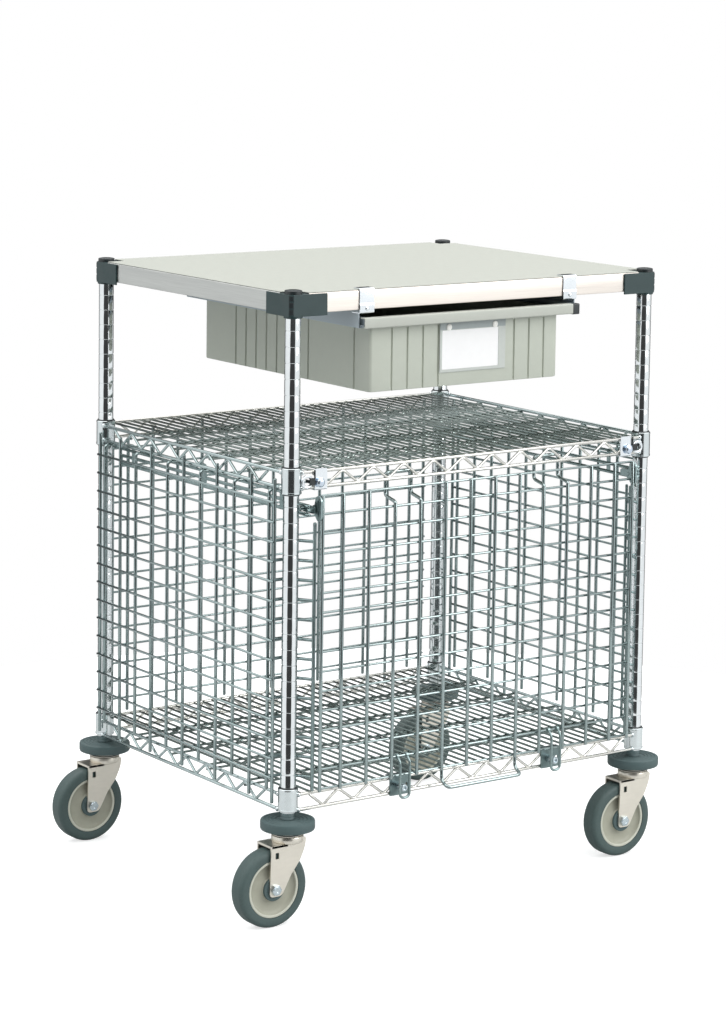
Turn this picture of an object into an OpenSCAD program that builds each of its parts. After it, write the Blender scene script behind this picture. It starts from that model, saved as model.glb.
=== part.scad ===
// Wire shelf cart: two wire shelves on four grooved posts, a worksurface with an under-slung drawer,
// wire panels round the lower bay, a lift-up slide-back front door and four swivel casters.
// Millimetres, +Z up, front towards -Y. The origin is on the floor, at the middle of the bounding box.

/* [Frame] */
// Distance between post centres, left to right
post_span_x = 720; // [700:1:740]
// Distance between post centres, front to back
post_span_y = 572; // [560:1:590]
// Outer diameter of a post
post_d = 25.4; // [25:0.1:25.6]
// Distance between the grooves of a post
groove_pitch = 25.4; // [20:0.1:30]
// Height of the worksurface's top face
work_z = 1013; // [1005:1:1020]
// Height of the middle shelf's top wires
mid_z = 728.5; // [727:0.5:730]
// Height of the bottom shelf's top wires
low_z = 209.5; // [208:0.5:211]

/* [Wire] */
// Diameter of the shelf edge wires
edge_wire_d = 5.6; // [5:0.1:6]
// Diameter of the deck wires
deck_wire_d = 3.8; // [3.4:0.1:4]
// Distance between deck wires
deck_pitch = 18.9; // [18:0.05:22]
// Height of a shelf truss between wire centres
truss_h = 25; // [24:0.5:26]
// Length of one zigzag of a truss
zigzag_pitch = 60; // [60:1:60]
// Diameter of the panels' vertical wires
upright_d = 5.8; // [5:0.1:6]
// Diameter of the panels' horizontal wires
rung_d = 4; // [3.6:0.1:4.2]
// Distance between vertical wires
upright_pitch = 50.8; // [50:0.1:51]
// Distance between horizontal wires
rung_pitch = 31.75; // [31:0.05:32]

/* [Door] */
// Number of evenly spaced vertical wires in the door
door_uprights = 12; // [12:2:12]
// Half of the door's width, at its edge wires
door_half = 319; // [317:1:320]
// Height of the door's hinge axis
hinge_z = 668; // [667:1:669]

/* [Drawer] */
// Centre of the drawer, left of the cart's middle
drawer_x = -21; // [-25:1:-18]
// Width of the tote between its walls' outer faces
tote_w = 383; // [376:1:388]
// Length of the tote between its walls' outer faces
tote_l = 487; // [470:1:495]
// Height of the tote
tote_h = 116; // [100:1:118]
// Wall thickness of the tote
tote_wall = 3; // [2.5:0.1:3.5]

/* [Casters] */
// Diameter of a wheel
wheel_d = 127; // [120:1:128]
// Width of a wheel's tread
wheel_w = 32; // [30:1:33]
// Distance from the swivel axis back to the axle
trail = 35; // [32:1:38]
// Diameter of a bumper
bumper_d = 88; // [84:1:92]

/* [Hidden] */
$fn = 48;

// Post positions about the cart's middle, and the middle's own place in the frame
px = post_span_x / 2;
py = post_span_y / 2;
wheel_r = wheel_d / 2;
middle_x = (trail + wheel_r - bumper_d / 2) / 2;
post_r = post_d / 2;
post_bore_r = 11.1;
post_foot = 169.7;
weld = 0.5;
gap = 0.2;

// Shelves: the trusses stand a little outside the post centres
truss_off = 11;
tx = px + truss_off;
ty = py + truss_off;
edge_r = edge_wire_d / 2;
collar_r = 16.5;
collar_bore_r = 14.6;
sleeve_r = 14.4;
sleeve_bore_r = 12.9;
mid_collar = [mid_z - 34, mid_z + 7.5];
low_collar = [183, low_z + 10.5];
collar_reach = 12.6;
zigzag_w = 4.8;
cross_truss_y = [-171, -57, 57, 171];
cross_truss_drop = 11;
cross_wire_d = 4.2;

// Panels and door
sx = px + 20;
sy = py + 17;
rung_step = upright_d / 2 + rung_d / 2 - weld;
panel_rung_z = 236;
panel_rungs = 15;
door_y = -(py + 29);
door_rung_y = door_y + rung_step;
door_foot = 213;
door_rung_z = 217;
door_rungs = 15;
door_head_z = 691;
door_top = 693;
loop_foot = hinge_z;
loop_top = 713;
loop_y = -(py + 1);
handle_x = 1.5 * upright_pitch;
handle_z = 188;
handle_y = door_y - 17;
hinge_y = -(py + 14);
hinge_pin_r = 3;
running_gap = 0.08;
lug_x = door_half + upright_d / 2 + gap;
lug_t = 3;
rail_x = px - 22;
rail_d = 6;
rail_gap = 14;
rail_y = [hinge_y - 6, py - 22];
roller_r = 3.7;
jamb_x = 325.5;
jamb_d = 6;
jamb_top = 648;

// Latches
latch_xs = [-155, 159];
bail_half = 9.5;
bail_d = 4.4;
bail_y = door_y - upright_d / 2 - bail_d / 2 - 0.9;
bail_pivot_z = door_rung_z + rung_pitch;
bail_foot = 181;
stud_z = 197;

// Worksurface
rim_h = 33;
rim_off = 11.5;
rim_t = 1.2;
board_t = 19;
corner_off = 14.5;
corner_leg = 70;
corner_h = 35;
corner_core = 36.5;
corner_skin = 2.8;
notch = 34;

// Drawer
tote_top = 962;
slide_front = -(py + 10);
slide_half = 200;
slide_l = 508;
tote_x = drawer_x - 6.5;
tote_lip = 8;
rail_half = 219;
front_rail_z = [951, 968];

// Casters
fork_half = wheel_w / 2 + 1.5;
fork_t = 3;
axle_r = 6;
kingpin_r = 6;

// ---- shared shapes ----

module at_cart() {
    translate([middle_x, 0, 0]) children();
}

module bar_x(x0, x1, y, z, d) {
    translate([x0, y, z]) rotate([0, 90, 0]) cylinder(h = x1 - x0, d = d);
}

// A wire along X with eight flats, as pressed flat where it is welded to the wires that cross it
module flatted_x(x0, x1, y, z, d) {
    translate([x0, y, z]) rotate([0, 90, 0]) rotate([0, 0, 22.5]) cylinder(h = x1 - x0, d = d, $fn = 8);
}

module bar_y(x, y0, y1, z, d) {
    translate([x, y1, z]) rotate([90, 0, 0]) cylinder(h = y1 - y0, d = d);
}

module bar_z(x, y, z0, z1, d) {
    translate([x, y, z0]) cylinder(h = z1 - z0, d = d);
}

// A straight piece of wire between two points
module rod(a, b, d) {
    v = b - a;
    translate(a) rotate([0, acos(v[2] / norm(v)), atan2(v[1], v[0])]) cylinder(h = norm(v), d = d);
}

// A bent wire: straight pieces with a ball just over the wire's size at each bend
module bent_wire(points, d) {
    for (i = [1 : len(points) - 1]) rod(points[i - 1], points[i], d);
    for (i = [1 : len(points) - 2]) translate(points[i]) sphere(d = d + 0.1);
}

module at_posts(xs, ys) {
    for (x = xs, y = ys) translate([x, y, 0]) children();
}

// Both halves of something that is the same on the left and the right
module both_sides() {
    children();
    mirror([1, 0, 0]) children();
}

// Flat zigzag band in the XZ plane between two heights, from valley to valley
module zigzag_band(half, z0, z1, w, t) {
    n = round(2 * half / zigzag_pitch);
    xs = [for (i = [0 : 2 * n]) -n * zigzag_pitch / 2 + i * zigzag_pitch / 2];
    low = [for (i = [0 : 2 * n]) [xs[i], (i % 2 == 0 ? z0 : z1) - w / 2]];
    high = [for (i = [2 * n : -1 : 0]) [xs[i], (i % 2 == 0 ? z0 : z1) + w / 2]];
    rotate([90, 0, 0]) translate([0, 0, -t / 2]) linear_extrude(t) polygon(concat(low, high));
}

// A shelf truss along X: top wire, bottom wire and zigzag
module truss(half, zigzag_half, z) {
    bar_x(-half, half, 0, z, edge_wire_d);
    bar_x(-half, half, 0, z - truss_h, edge_wire_d);
    zigzag_band(zigzag_half, z - truss_h, z, zigzag_w, zigzag_w);
}

// ---- posts ----

// A tube with a shallow groove every pitch
module post() {
    grooves = floor((work_z - post_foot - 20) / groove_pitch);
    difference() {
        bar_z(0, 0, post_foot, work_z - 2.2, post_d);
        bar_z(0, 0, post_foot - 1, work_z, 2 * post_bore_r);
        for (i = [1 : grooves]) translate([0, 0, work_z - 10 - i * groove_pitch]) difference() {
            cylinder(h = 1.6, d = post_d + 2);
            translate([0, 0, -1]) cylinder(h = 4, d = post_d - 1.2);
        }
    }
}

module front_posts() {
    color("silver") at_cart() at_posts([-px, px], [-py]) post();
}

module back_posts() {
    color("silver") at_cart() at_posts([-px, px], [py]) post();
}

module post_caps() {
    color("#24282b") at_cart() at_posts([-px, px], [-py, py]) {
        bar_z(0, 0, work_z - 2, work_z + 3, 28);
        bar_z(0, 0, work_z - 16, work_z - 1, 2 * post_bore_r - 0.3);
        translate([0, 0, work_z + 2.5]) cylinder(h = 2.5, r1 = 13, r2 = 10);
    }
}

// ---- worksurface ----

// Rectangle with a square notch at each corner
module notched(w, d, n) {
    polygon([[-w + n, -d], [w - n, -d], [w - n, -d + n], [w, -d + n], [w, d - n], [w - n, d - n],
        [w - n, d], [-w + n, d], [-w + n, d - n], [-w, d - n], [-w, -d + n], [-w + n, -d + n]]);
}

module worksurface_top() {
    color("#d4d5cd") at_cart() translate([0, 0, work_z - board_t]) linear_extrude(board_t)
        notched(px + rim_off - rim_t - gap, py + rim_off - rim_t - gap, notch - rim_t);
}

// One edge strip: an upright face with a lip turned in under the board
module rim_strip(half) {
    translate([-half, 0, work_z - rim_h]) cube([2 * half, rim_t, rim_h]);
    translate([-half, 0, work_z - rim_h]) cube([2 * half, 12, rim_t]);
}

module worksurface_rim() {
    color("#e3ddd0") at_cart() {
        long_half = px - 22.5;
        short_half = py - 22.5;
        translate([0, -(py + rim_off), 0]) rim_strip(long_half);
        mirror([0, 1, 0]) translate([0, -(py + rim_off), 0]) rim_strip(long_half);
        rotate([0, 0, 90]) translate([0, -(px + rim_off), 0]) rim_strip(short_half);
        rotate([0, 0, -90]) translate([0, -(px + rim_off), 0]) rim_strip(short_half);
    }
}

// Corner block at the front left: a core round the post with two legs over the rim
module corner_block() {
    top = work_z - 2.2;
    translate([0, 0, top - corner_h]) difference() {
        union() {
            translate([-corner_off, -corner_off, 0]) cube([corner_core, corner_core, corner_h]);
            translate([-corner_off, -corner_off, 0]) cube([corner_leg, corner_skin, corner_h]);
            translate([-corner_off, -corner_off, 0]) cube([corner_skin, corner_leg, corner_h]);
            translate([0, 0, -3]) cylinder(h = 4, d = 30);
        }
        translate([0, 0, -5]) cylinder(h = corner_h + 10, r = post_r + 0.2);
        translate([-corner_off, -corner_off, -1]) rotate([0, 0, 45])
            translate([-4, -4, 0]) cube([8, 8, corner_h + 2]);
    }
}

module worksurface_corners() {
    color("#3c464b") at_cart() for (i = [0, 1], j = [0, 1]) mirror([i, 0, 0]) mirror([0, j, 0])
        translate([-px, -py, 0]) corner_block();
}

// ---- shelves ----

module shelf_deck(z) {
    half = tx - edge_r - gap;
    deep = ty - edge_r - gap;
    count = floor((px - collar_r - deck_wire_d / 2 - 1) / deck_pitch);
    cross_z = z - deck_wire_d / 2 - cross_wire_d / 2 + weld;
    for (i = [-count : count]) bar_y(i * deck_pitch, -deep, deep, z, deck_wire_d);
    for (y = cross_truss_y) translate([0, y, 0]) {
        flatted_x(-half, half, 0, cross_z, cross_wire_d);
        bar_x(-half, half, 0, z - cross_truss_drop, cross_wire_d);
        zigzag_band(300, z - cross_truss_drop, cross_z, 3.4, 3.4);
    }
}

// The four edge trusses, each a welded piece between two collars
module shelf_trusses(z) {
    along_x = px - collar_reach;
    along_y = py - collar_reach;
    for (y = [-ty, ty]) translate([0, y, 0]) truss(along_x, 300, z);
    for (x = [-tx, tx]) translate([x, 0, 0]) rotate([0, 0, 90]) truss(along_y, 210, z);
}

module shelf_collars(span) {
    at_posts([-px, px], [-py, py]) difference() {
        bar_z(0, 0, span[0], span[1], 2 * collar_r);
        bar_z(0, 0, span[0] - 1, span[1] + 1, 2 * collar_bore_r);
    }
}

module middle_shelf_deck() {
    color("#8b9a96") at_cart() shelf_deck(mid_z);
}

module middle_shelf_trusses() {
    color("#c3c8c6") at_cart() shelf_trusses(mid_z);
}

module middle_shelf_collars() {
    color("silver") at_cart() shelf_collars(mid_collar);
}

module bottom_shelf_deck() {
    color("#8b9a96") at_cart() shelf_deck(low_z);
}

module bottom_shelf_trusses() {
    color("#c3c8c6") at_cart() shelf_trusses(low_z);
}

module bottom_shelf_collars() {
    color("silver") at_cart() shelf_collars(low_collar);
}

// Split sleeves clipped in a groove of the post, standing proud of the collar as dark rings
module sleeve(z0, z1) {
    difference() {
        bar_z(0, 0, z0, z1, 2 * sleeve_r);
        bar_z(0, 0, z0 - 1, z1 + 1, 2 * sleeve_bore_r);
    }
}

module shelf_sleeves() {
    color("#1d2022") at_cart() at_posts([-px, px], [-py, py]) {
        sleeve(mid_collar[0] - 2, mid_collar[1] + 2);
        sleeve(low_collar[0] + gap, low_collar[1] + 2);
    }
}

// ---- quick-release corners of the middle shelf ----

button_x = px - 42.5;
button_z = mid_z - 17;
plate_t = 2.4;
plate_y = -(ty + edge_r + plate_t + 0.1);
plate_foot = mid_z - 29.3;
plate_w = 23.5;
plate_x = -px + 34;
window_x = -px + 20;
window_z = mid_z - 15;

// Plate beside the front left collar with a ledge below, and a ring by the collar with a round window
module release_bracket() {
    difference() {
        union() {
            translate([plate_x, plate_y, plate_foot]) cube([plate_w, plate_t, 34.3]);
            translate([plate_x, plate_y, plate_foot]) cube([plate_w, 12, 1.4]);
            translate([window_x, plate_y + plate_t, window_z]) rotate([90, 0, 0])
                cylinder(h = plate_t, r = 11);
            translate([window_x, plate_y, window_z - 4]) cube([plate_x + 1 - window_x, plate_t, 8]);
        }
        translate([-button_x, plate_y - 1, button_z]) rotate([-90, 0, 0]) cylinder(h = 5, r = 4.3);
        translate([window_x, plate_y - 1, window_z]) rotate([-90, 0, 0]) cylinder(h = 5, r = 6.5);
    }
}

module release_brackets() {
    color("#c9cfd0") at_cart() both_sides() release_bracket();
}

// Slider on the face of the plate: a pad, a strip up the plate's edge and a shank through the window
module release_tabs() {
    front = plate_y - 2.6;
    color("#1d2022") at_cart() both_sides() {
        translate([plate_x - 11, front, window_z - 5.7]) cube([11, 2.4, 11.6]);
        translate([plate_x - 2, front, window_z - 5.7]) cube([2, 2.4, 24]);
        translate([plate_x - 10.8, front + 1, window_z - 2.5]) cube([2.6, 13, 5]);
    }
}

// Domed push button: a shank through the plate and a rounded head
module release_button() {
    translate([-button_x, plate_y, button_z]) rotate([90, 0, 0]) {
        translate([0, 0, -plate_t]) cylinder(h = plate_t + 4.4, r = 4);
        translate([0, 0, 4]) rotate_extrude() polygon([for (a = [0 : 6 : 90]) [8 * cos(a), 4 * sin(a)],
            [0, 0]]);
    }
}

module release_button_left() {
    color("#aeb9c0") at_cart() release_button();
}

module release_button_right() {
    color("#aeb9c0") at_cart() mirror([1, 0, 0]) release_button();
}

// ---- wire panels ----

// Heights of the panel rungs
function rung_heights() = [for (i = [0 : panel_rungs - 1]) panel_rung_z + i * rung_pitch];

// A flat panel in the XZ plane, rungs on the outside (-Y)
module panel_grid(uprights, tall_every, half, foot_tall, foot_short, head_tall, head_short) {
    for (i = [0 : len(uprights) - 1]) {
        tall = i % 2 == tall_every;
        bar_z(uprights[i], 0, tall ? foot_tall : foot_short, tall ? head_tall : head_short, upright_d);
    }
    for (z = rung_heights()) flatted_x(-half, half, -rung_step, z, rung_d);
}

foot_tall = low_z - 16;
foot_short = low_z + 4;
head_tall = mid_z - 10;
hook_d = 4.6;
hook_z = mid_z - truss_h - edge_r - hook_d / 2 - 0.4;
head_short = hook_z - 9;
side_uprights = concat([-py + 16.5], [for (i = [-5 : 5]) i * upright_pitch], [py - 16.5]);
back_uprights = concat([-px + 24], [for (i = [-6 : 6]) i * upright_pitch], [px - 24]);

module side_panel() {
    translate([-sx, 0, 0]) rotate([0, 0, -90])
        panel_grid(side_uprights, 0, py - 14, foot_tall, foot_short, head_tall, head_short);
}

module side_panel_left() {
    color("#9fb0b4") at_cart() side_panel();
}

module side_panel_right() {
    color("#9fb0b4") at_cart() mirror([1, 0, 0]) side_panel();
}

module back_panel() {
    color("#9fb0b4") at_cart() translate([0, sy, 0]) rotate([0, 0, 180])
        panel_grid(back_uprights, 0, px - 15, foot_tall, foot_short, head_tall, head_short);
}

// Hooks on every second upright, turned in under the truss; the side ones lie over the hanging rod
module side_hooks() {
    for (i = [1 : 2 : len(side_uprights) - 2]) let (y = side_uprights[i]) bent_wire([
        [-sx, y, head_short], [-sx, y, hook_z - 5], [-sx + 5, y, hook_z], [-sx + 25, y, hook_z]], hook_d);
}

module back_hooks() {
    for (i = [1 : 2 : len(back_uprights) - 2]) let (x = back_uprights[i]) bent_wire([
        [x, sy, head_short], [x, sy, hook_z - 5], [x, sy - 5, hook_z], [x, sy - 12, hook_z]], hook_d);
}

module panel_hooks() {
    color("#9fb0b4") at_cart() {
        both_sides() side_hooks();
        back_hooks();
    }
}

// Upright rods at the door's edges, tied back past the posts to the side panels
jamb_y = -py - 17;
jamb_back = [-px + 8, -py + 24];
module jamb() {
    bar_z(-jamb_x, jamb_y, door_foot, jamb_top, jamb_d);
    bar_z(jamb_back[0], jamb_back[1], panel_rung_z - 4, jamb_top - 6, 5);
    for (z = rung_heights()) if (z < jamb_top - 10) {
        rod([-jamb_x, jamb_y, z], [jamb_back[0], jamb_back[1], z], rung_d);
        bar_x(-sx - 1, jamb_back[0], jamb_back[1], z, rung_d);
    }
}

module door_jambs() {
    color("#8fa3a6") at_cart() both_sides() jamb();
}

// ---- door guide rails ----

// Hairpin rail with a hanging rod above it, tied together and up to the shelf by three straps
hang_x = px - 3;
hang_d = 5;
hang_z = hook_z - hook_d / 2 - hang_d / 2 - 0.4;
strap_w = 8;
strap_t = 3;
module guide_rail() {
    under_shelf = mid_z - truss_h - edge_r - gap;
    for (s = [-1, 1]) bar_y(-rail_x, rail_y[0], rail_y[1], hinge_z + s * rail_gap / 2, rail_d);
    translate([-rail_x, rail_y[1], hinge_z]) rotate([90, 0, 90]) rotate([0, 0, -90])
        rotate_extrude(angle = 180) translate([rail_gap / 2, 0]) circle(d = rail_d);
    bar_y(-hang_x, -py + 22, py - 22, hang_z, hang_d);
    for (y = [-228, 0, 228]) translate([0, y - strap_w / 2, 0]) {
        outer = -rail_x - rail_d / 2 + 0.6;
        foot = hinge_z - rail_gap / 2 - 2;
        translate([outer - strap_t, 0, foot]) cube([strap_t, strap_w, under_shelf - foot]);
        translate([-tx + 1, 0, under_shelf - strap_t]) cube([tx - 1 + outer, strap_w, strap_t]);
        translate([-hang_x - 1.5, 0, hang_z + 1]) cube([3, strap_w, under_shelf - hang_z - 2]);
    }
}

module guide_rail_left() {
    color("#7f8f92") at_cart() guide_rail();
}

module guide_rail_right() {
    color("#7f8f92") at_cart() mirror([1, 0, 0]) guide_rail();
}

// ---- door ----

door_xs = [for (i = [0 : door_uprights - 1]) (i - (door_uprights - 1) / 2) * upright_pitch];

function in_loop(x) = abs(x) > 2 * upright_pitch && abs(x) < 4 * upright_pitch;

module door_grid() {
    color("#a9b6b8") at_cart() {
        for (x = door_xs) bar_z(x, door_y, door_foot, in_loop(x) ? loop_foot : door_top, upright_d);
        for (x = [-door_half, door_half]) bar_z(x, door_y, door_foot, door_top, upright_d);
        for (i = [0 : door_rungs - 1])
            bar_x(-door_half, door_half, door_rung_y, door_rung_z + i * rung_pitch, rung_d);
        bar_x(-door_half, door_half, door_rung_y, door_head_z, rung_d);
    }
}

// Keeper loops that stand up behind the middle shelf's front truss
module door_loop() {
    a = 2.5 * upright_pitch;
    b = 3.5 * upright_pitch;
    bent_wire([
        [a, door_y, loop_foot], [a, door_y, loop_foot + 3], [a, loop_y, loop_foot + 5],
        [a, loop_y, loop_top - 6], [a + 6, loop_y, loop_top], [b - 6, loop_y, loop_top],
        [b, loop_y, loop_top - 6], [b, loop_y, loop_foot + 5], [b, door_y, loop_foot + 3],
        [b, door_y, loop_foot]], upright_d);
}

module door_loops() {
    color("#a9b6b8") at_cart() both_sides() door_loop();
}

module door_handle() {
    color("#a9b6b8") at_cart() bent_wire([
        [-handle_x, door_y, door_foot], [-handle_x, door_y, handle_z + 8],
        [-handle_x, door_y - 4, handle_z + 2], [-handle_x, handle_y, handle_z],
        [handle_x, handle_y, handle_z], [handle_x, door_y - 4, handle_z + 2],
        [handle_x, door_y, handle_z + 8], [handle_x, door_y, door_foot]], upright_d);
}

// Slotted oval plate on the door's edge wire, with an ear round the hinge pin
lug_r = 8.5;
lug_slot = [657, 685];
module lug() {
    middle_y = door_y + 4.5;
    translate([-lug_x - lug_t, 0, 0]) rotate([90, 0, 90]) linear_extrude(lug_t) difference() {
        union() {
            hull() for (z = [hinge_z - 8.5, hinge_z + 14.5]) translate([middle_y, z]) circle(r = lug_r);
            translate([hinge_y, hinge_z]) circle(r = 7.5);
            translate([middle_y, hinge_z - 7.5]) square([hinge_y - middle_y, 15]);
        }
        translate([hinge_y, hinge_z]) circle(r = hinge_pin_r + running_gap);
        translate([middle_y - 3, lug_slot[0]]) square([4, lug_slot[1] - lug_slot[0]]);
    }
}

module door_lugs() {
    color("#b9c2c2") at_cart() both_sides() lug();
}

// Carrier: a plate with the hinge pin on the door side and two rollers between the rails
module carrier() {
    carrier_x = lug_x + lug_t + 2;
    pin_reach = 1;
    translate([-carrier_x - 3, hinge_y - 7, hinge_z - 6]) cube([3, 34, 12]);
    bar_x(-carrier_x - 1, -lug_x + pin_reach, hinge_y, hinge_z, 2 * hinge_pin_r);
    for (y = [hinge_y, hinge_y + 20])
        bar_x(-rail_x - rail_d / 2 + 1, -carrier_x - 2, y, hinge_z, 2 * roller_r);
}

module door_carriers() {
    color("#6f7c80") at_cart() both_sides() carrier();
}

// ---- latches ----

// Wire bail with an eye at the head of each leg, hanging on a rung of the door
module bail() {
    h = bail_half;
    difference() {
        union() {
            for (s = [-1, 1]) bar_x(s * h - 2.4, s * h + 2.4, door_rung_y, bail_pivot_z, 9);
            bent_wire([[-h, door_rung_y - 3.4, bail_pivot_z], [-h, bail_y, bail_pivot_z - 9],
                [-h, bail_y, bail_foot + 7], [-4, bail_y, bail_foot], [4, bail_y, bail_foot],
                [h, bail_y, bail_foot + 7], [h, bail_y, bail_pivot_z - 9],
                [h, door_rung_y - 3.4, bail_pivot_z]], bail_d);
        }
        bar_x(-h - 4, h + 4, door_rung_y, bail_pivot_z, rung_d + 2 * running_gap);
    }
}

module latch_bail_left() {
    color("#b9c2c2") at_cart() translate([latch_xs[0], 0, 0]) bail();
}

module latch_bail_right() {
    color("#b9c2c2") at_cart() translate([latch_xs[1], 0, 0]) bail();
}

// Clip on the bottom shelf's front truss, with a hole for the stud
bracket_t = 2.5;
bracket_y = -(ty + edge_r + bracket_t + 0.1);
bracket_z = [181, low_z + 5];
module latch_bracket() {
    translate([-16, bracket_y, bracket_z[0]]) difference() {
        cube([42, bracket_t, bracket_z[1] - bracket_z[0]]);
        translate([16, -1, stud_z - bracket_z[0]]) rotate([-90, 0, 0]) cylinder(h = 5, r = 3.6);
    }
    translate([-16, bracket_y, bracket_z[1] - 2]) cube([42, 14, 2]);
}

module latch_brackets() {
    color("#6f8580") at_cart() for (x = latch_xs) translate([x, 0, 0]) latch_bracket();
}

// Plain round stud that the bail drops over
module latch_studs() {
    color("#b9c2c2") at_cart() for (x = latch_xs) translate([x, bracket_y, stud_z])
        rotate([90, 0, 0]) {
            translate([0, 0, -bracket_t]) cylinder(h = bracket_t + 1, r = 3.4);
            translate([0, 0, gap]) cylinder(h = 19, r = 6);
        }
}

// ---- drawer ----

// Solid block of the tote, shrunk by a wall on every side
module tote_block(inset, z0, z1) {
    translate([tote_x - tote_w / 2 + inset, slide_front + inset, z0])
        cube([tote_w - 2 * inset, tote_l - 2 * inset, z1 - z0]);
}

module drawer_tote() {
    foot = tote_top - tote_h;
    color("#b9bcb0") at_cart() difference() {
        union() {
            tote_block(0, foot, tote_top);
            translate([drawer_x - slide_half - tote_lip, slide_front, channel_z + 2 + gap])
                cube([2 * (slide_half + tote_lip), tote_l, 3]);
        }
        tote_block(tote_wall, foot + tote_wall, tote_top + 1);
        tote_grooves(foot);
    }
}

// Upright grooves that divide the tote's walls into ribs
groove_w = 2.6;
groove_cut = 1.4;
rib_pitch = 31;
side_ribs = concat([43], [for (k = [0 : 7]) 173 + k * rib_pitch]);
module tote_grooves(foot) {
    tall = tote_h - 16;
    for (k = [-5 : 5]) if (k < -1 || k > 2)
        translate([drawer_x + k * rib_pitch - groove_w / 2, slide_front - 3, foot - 4])
            cube([groove_w, 3 + groove_cut, tall]);
    for (x = [tote_x - tote_w / 2, tote_x + tote_w / 2], y = side_ribs)
        translate([x - groove_cut, slide_front + y - groove_w / 2, foot - 4])
            cube([2 * groove_cut, groove_w, tall]);
}

// Folded channel across the drawer's front, above the tote's face
module drawer_front_rail() {
    color("#bcbcae") at_cart() translate([drawer_x - rail_half, slide_front - 16, front_rail_z[0]]) {
        w = 2 * rail_half - 14;
        h = front_rail_z[1] - front_rail_z[0];
        cube([w, 1.6, h]);
        translate([0, 0, h - 1.6]) cube([w, 13, 1.6]);
        cube([w, 5, 1.6]);
    }
}

module drawer_end_cap() {
    color("#2b3436") at_cart()
        translate([drawer_x + rail_half - 14 + gap, slide_front - 16, front_rail_z[0] - 1])
            cube([13.5, 13, 18]);
}

// Drawer side channels: a slide flange, an upright web and a shelf for the tote's lip
channel_z = tote_top - 9;
module drawer_channel() {
    translate([slide_half + 1, slide_front - 2.9, channel_z]) cube([16, slide_l, 2]);
    translate([slide_half + 9, slide_front - 2.9, channel_z]) cube([1.6, slide_l, 15]);
}

module drawer_channels() {
    color("#a8b4ba") at_cart() translate([drawer_x, 0, 0]) both_sides() drawer_channel();
}

// Fixed runners under the worksurface: a channel open towards the drawer
runner_top = work_z - rim_h - gap;
module drawer_runner() {
    out = slide_half + 19;
    foot = channel_z - 2.6;
    translate([out, slide_front, foot]) cube([1.5, slide_l + 4, runner_top - foot]);
    translate([out - 10, slide_front, foot]) cube([10.5, slide_l + 4, 1.5]);
    translate([out - 20, slide_front, runner_top - 1.5]) cube([20.5, slide_l + 4, 1.5]);
}

module drawer_runners() {
    color("#a8b4ba") at_cart() translate([drawer_x, 0, 0]) both_sides() drawer_runner();
}

// Clip hooked over the rim: back leg on the board, front strap, foot under the runner
clip_w = 28;
clip_t = 1.8;
module drawer_clip() {
    front = -(py + rim_off) - gap - clip_t;
    foot = runner_top - 4;
    translate([-clip_w / 2, front, work_z + gap]) cube([clip_w, 16, clip_t]);
    translate([-clip_w / 2, front, foot]) cube([clip_w, clip_t, work_z + gap + clip_t - foot]);
    translate([-clip_w / 2, front, foot]) cube([clip_w - 2.5, 20, clip_t]);
    translate([0, front + 0.5, foot + 7]) rotate([90, 0, 0]) cylinder(h = 3, r = 3.5);
}

module drawer_clips() {
    color("#dfe6ea") at_cart() translate([drawer_x, 0, 0]) both_sides()
        translate([slide_half + 7, 0, 0]) drawer_clip();
}

// Label pocket on the tote's front
pocket_w = 134;
pocket_h = 84;
card_w = 119;
card_h = 66;
module on_tote_face() {
    translate([drawer_x + 7, slide_front, tote_top]) children();
}

module label_pocket() {
    color("#cfd4d6") at_cart() on_tote_face() difference() {
        translate([-pocket_w / 2, -gap - 1.8, -10 - pocket_h]) cube([pocket_w, 1.8, pocket_h]);
        translate([-card_w / 2 - 5 - gap, -4, -6 - pocket_h - gap])
            cube([card_w + 2 * gap, 3.4, card_h + 2 * gap]);
        for (x = [-49, 45]) translate([x, 1, -20]) rotate([90, 0, 0]) cylinder(h = 5, r = 2.1);
    }
}

module label_card() {
    color("#f2f2f0") at_cart() on_tote_face()
        translate([-card_w / 2 - 5, -gap - 1.5, -6 - pocket_h]) cube([card_w, 0.8, card_h]);
}

// Push rivets through the pocket's top strip
module label_rivets() {
    color("#f4f4f2") at_cart() on_tote_face() for (x = [-49, 45]) translate([x, -gap + 0.1, -20])
        rotate([90, 0, 0]) {
            cylinder(h = 4, r = 2);
            translate([0, 0, 1.9]) cylinder(h = 1.8, r = 5.5);
        }
}

// ---- casters ----

bumper_z = [153.5, 169.5];
race_z = 145.5;
fork_top = race_z - 0.4;
crown_z = 133.5;
corners = [[-px, -py], [px, -py], [-px, py], [px, py]];

// Stem fixed in the post's bore, with the fixed race and a kingpin below it
module stem() {
    bar_z(0, 0, race_z, 246, 2 * post_bore_r - 0.3);
    bar_z(0, 0, race_z, bumper_z[0] - gap, 50);
    bar_z(0, 0, 130.5, race_z + 1, 2 * kingpin_r);
    bar_z(0, 0, 128, 133, 20);
}

module caster_stems() {
    color("#c9c5b8") at_cart() at_posts([-px, px], [-py, py]) stem();
}

// Flat round rubber bumper with rounded edges
module bumpers() {
    r = bumper_d / 2;
    h = bumper_z[1] - bumper_z[0];
    edge = [for (a = [-90 : 15 : 90]) [r - 3 + 3 * cos(a), (a < 0 ? 3 : h - 3) + 3 * sin(a)]];
    outline = concat([[post_bore_r + 0.1, 0]], edge, [[post_bore_r + 0.1, h]]);
    color("#56666b") at_cart() at_posts([-px, px], [-py, py]) translate([0, 0, bumper_z[0]])
        rotate_extrude() polygon(outline);
}

// Outline of one fork leg in the XZ plane: straight at the back, sloping at the front
leg_slot = [6.5, 10];
module leg_outline() {
    polygon([[-44, 135], [-46, 66], [-24, 57], [-6, 84], [8, 101], [17, 121], [19, 135]]);
    translate([-trail, wheel_r]) circle(r = 11);
}

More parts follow.
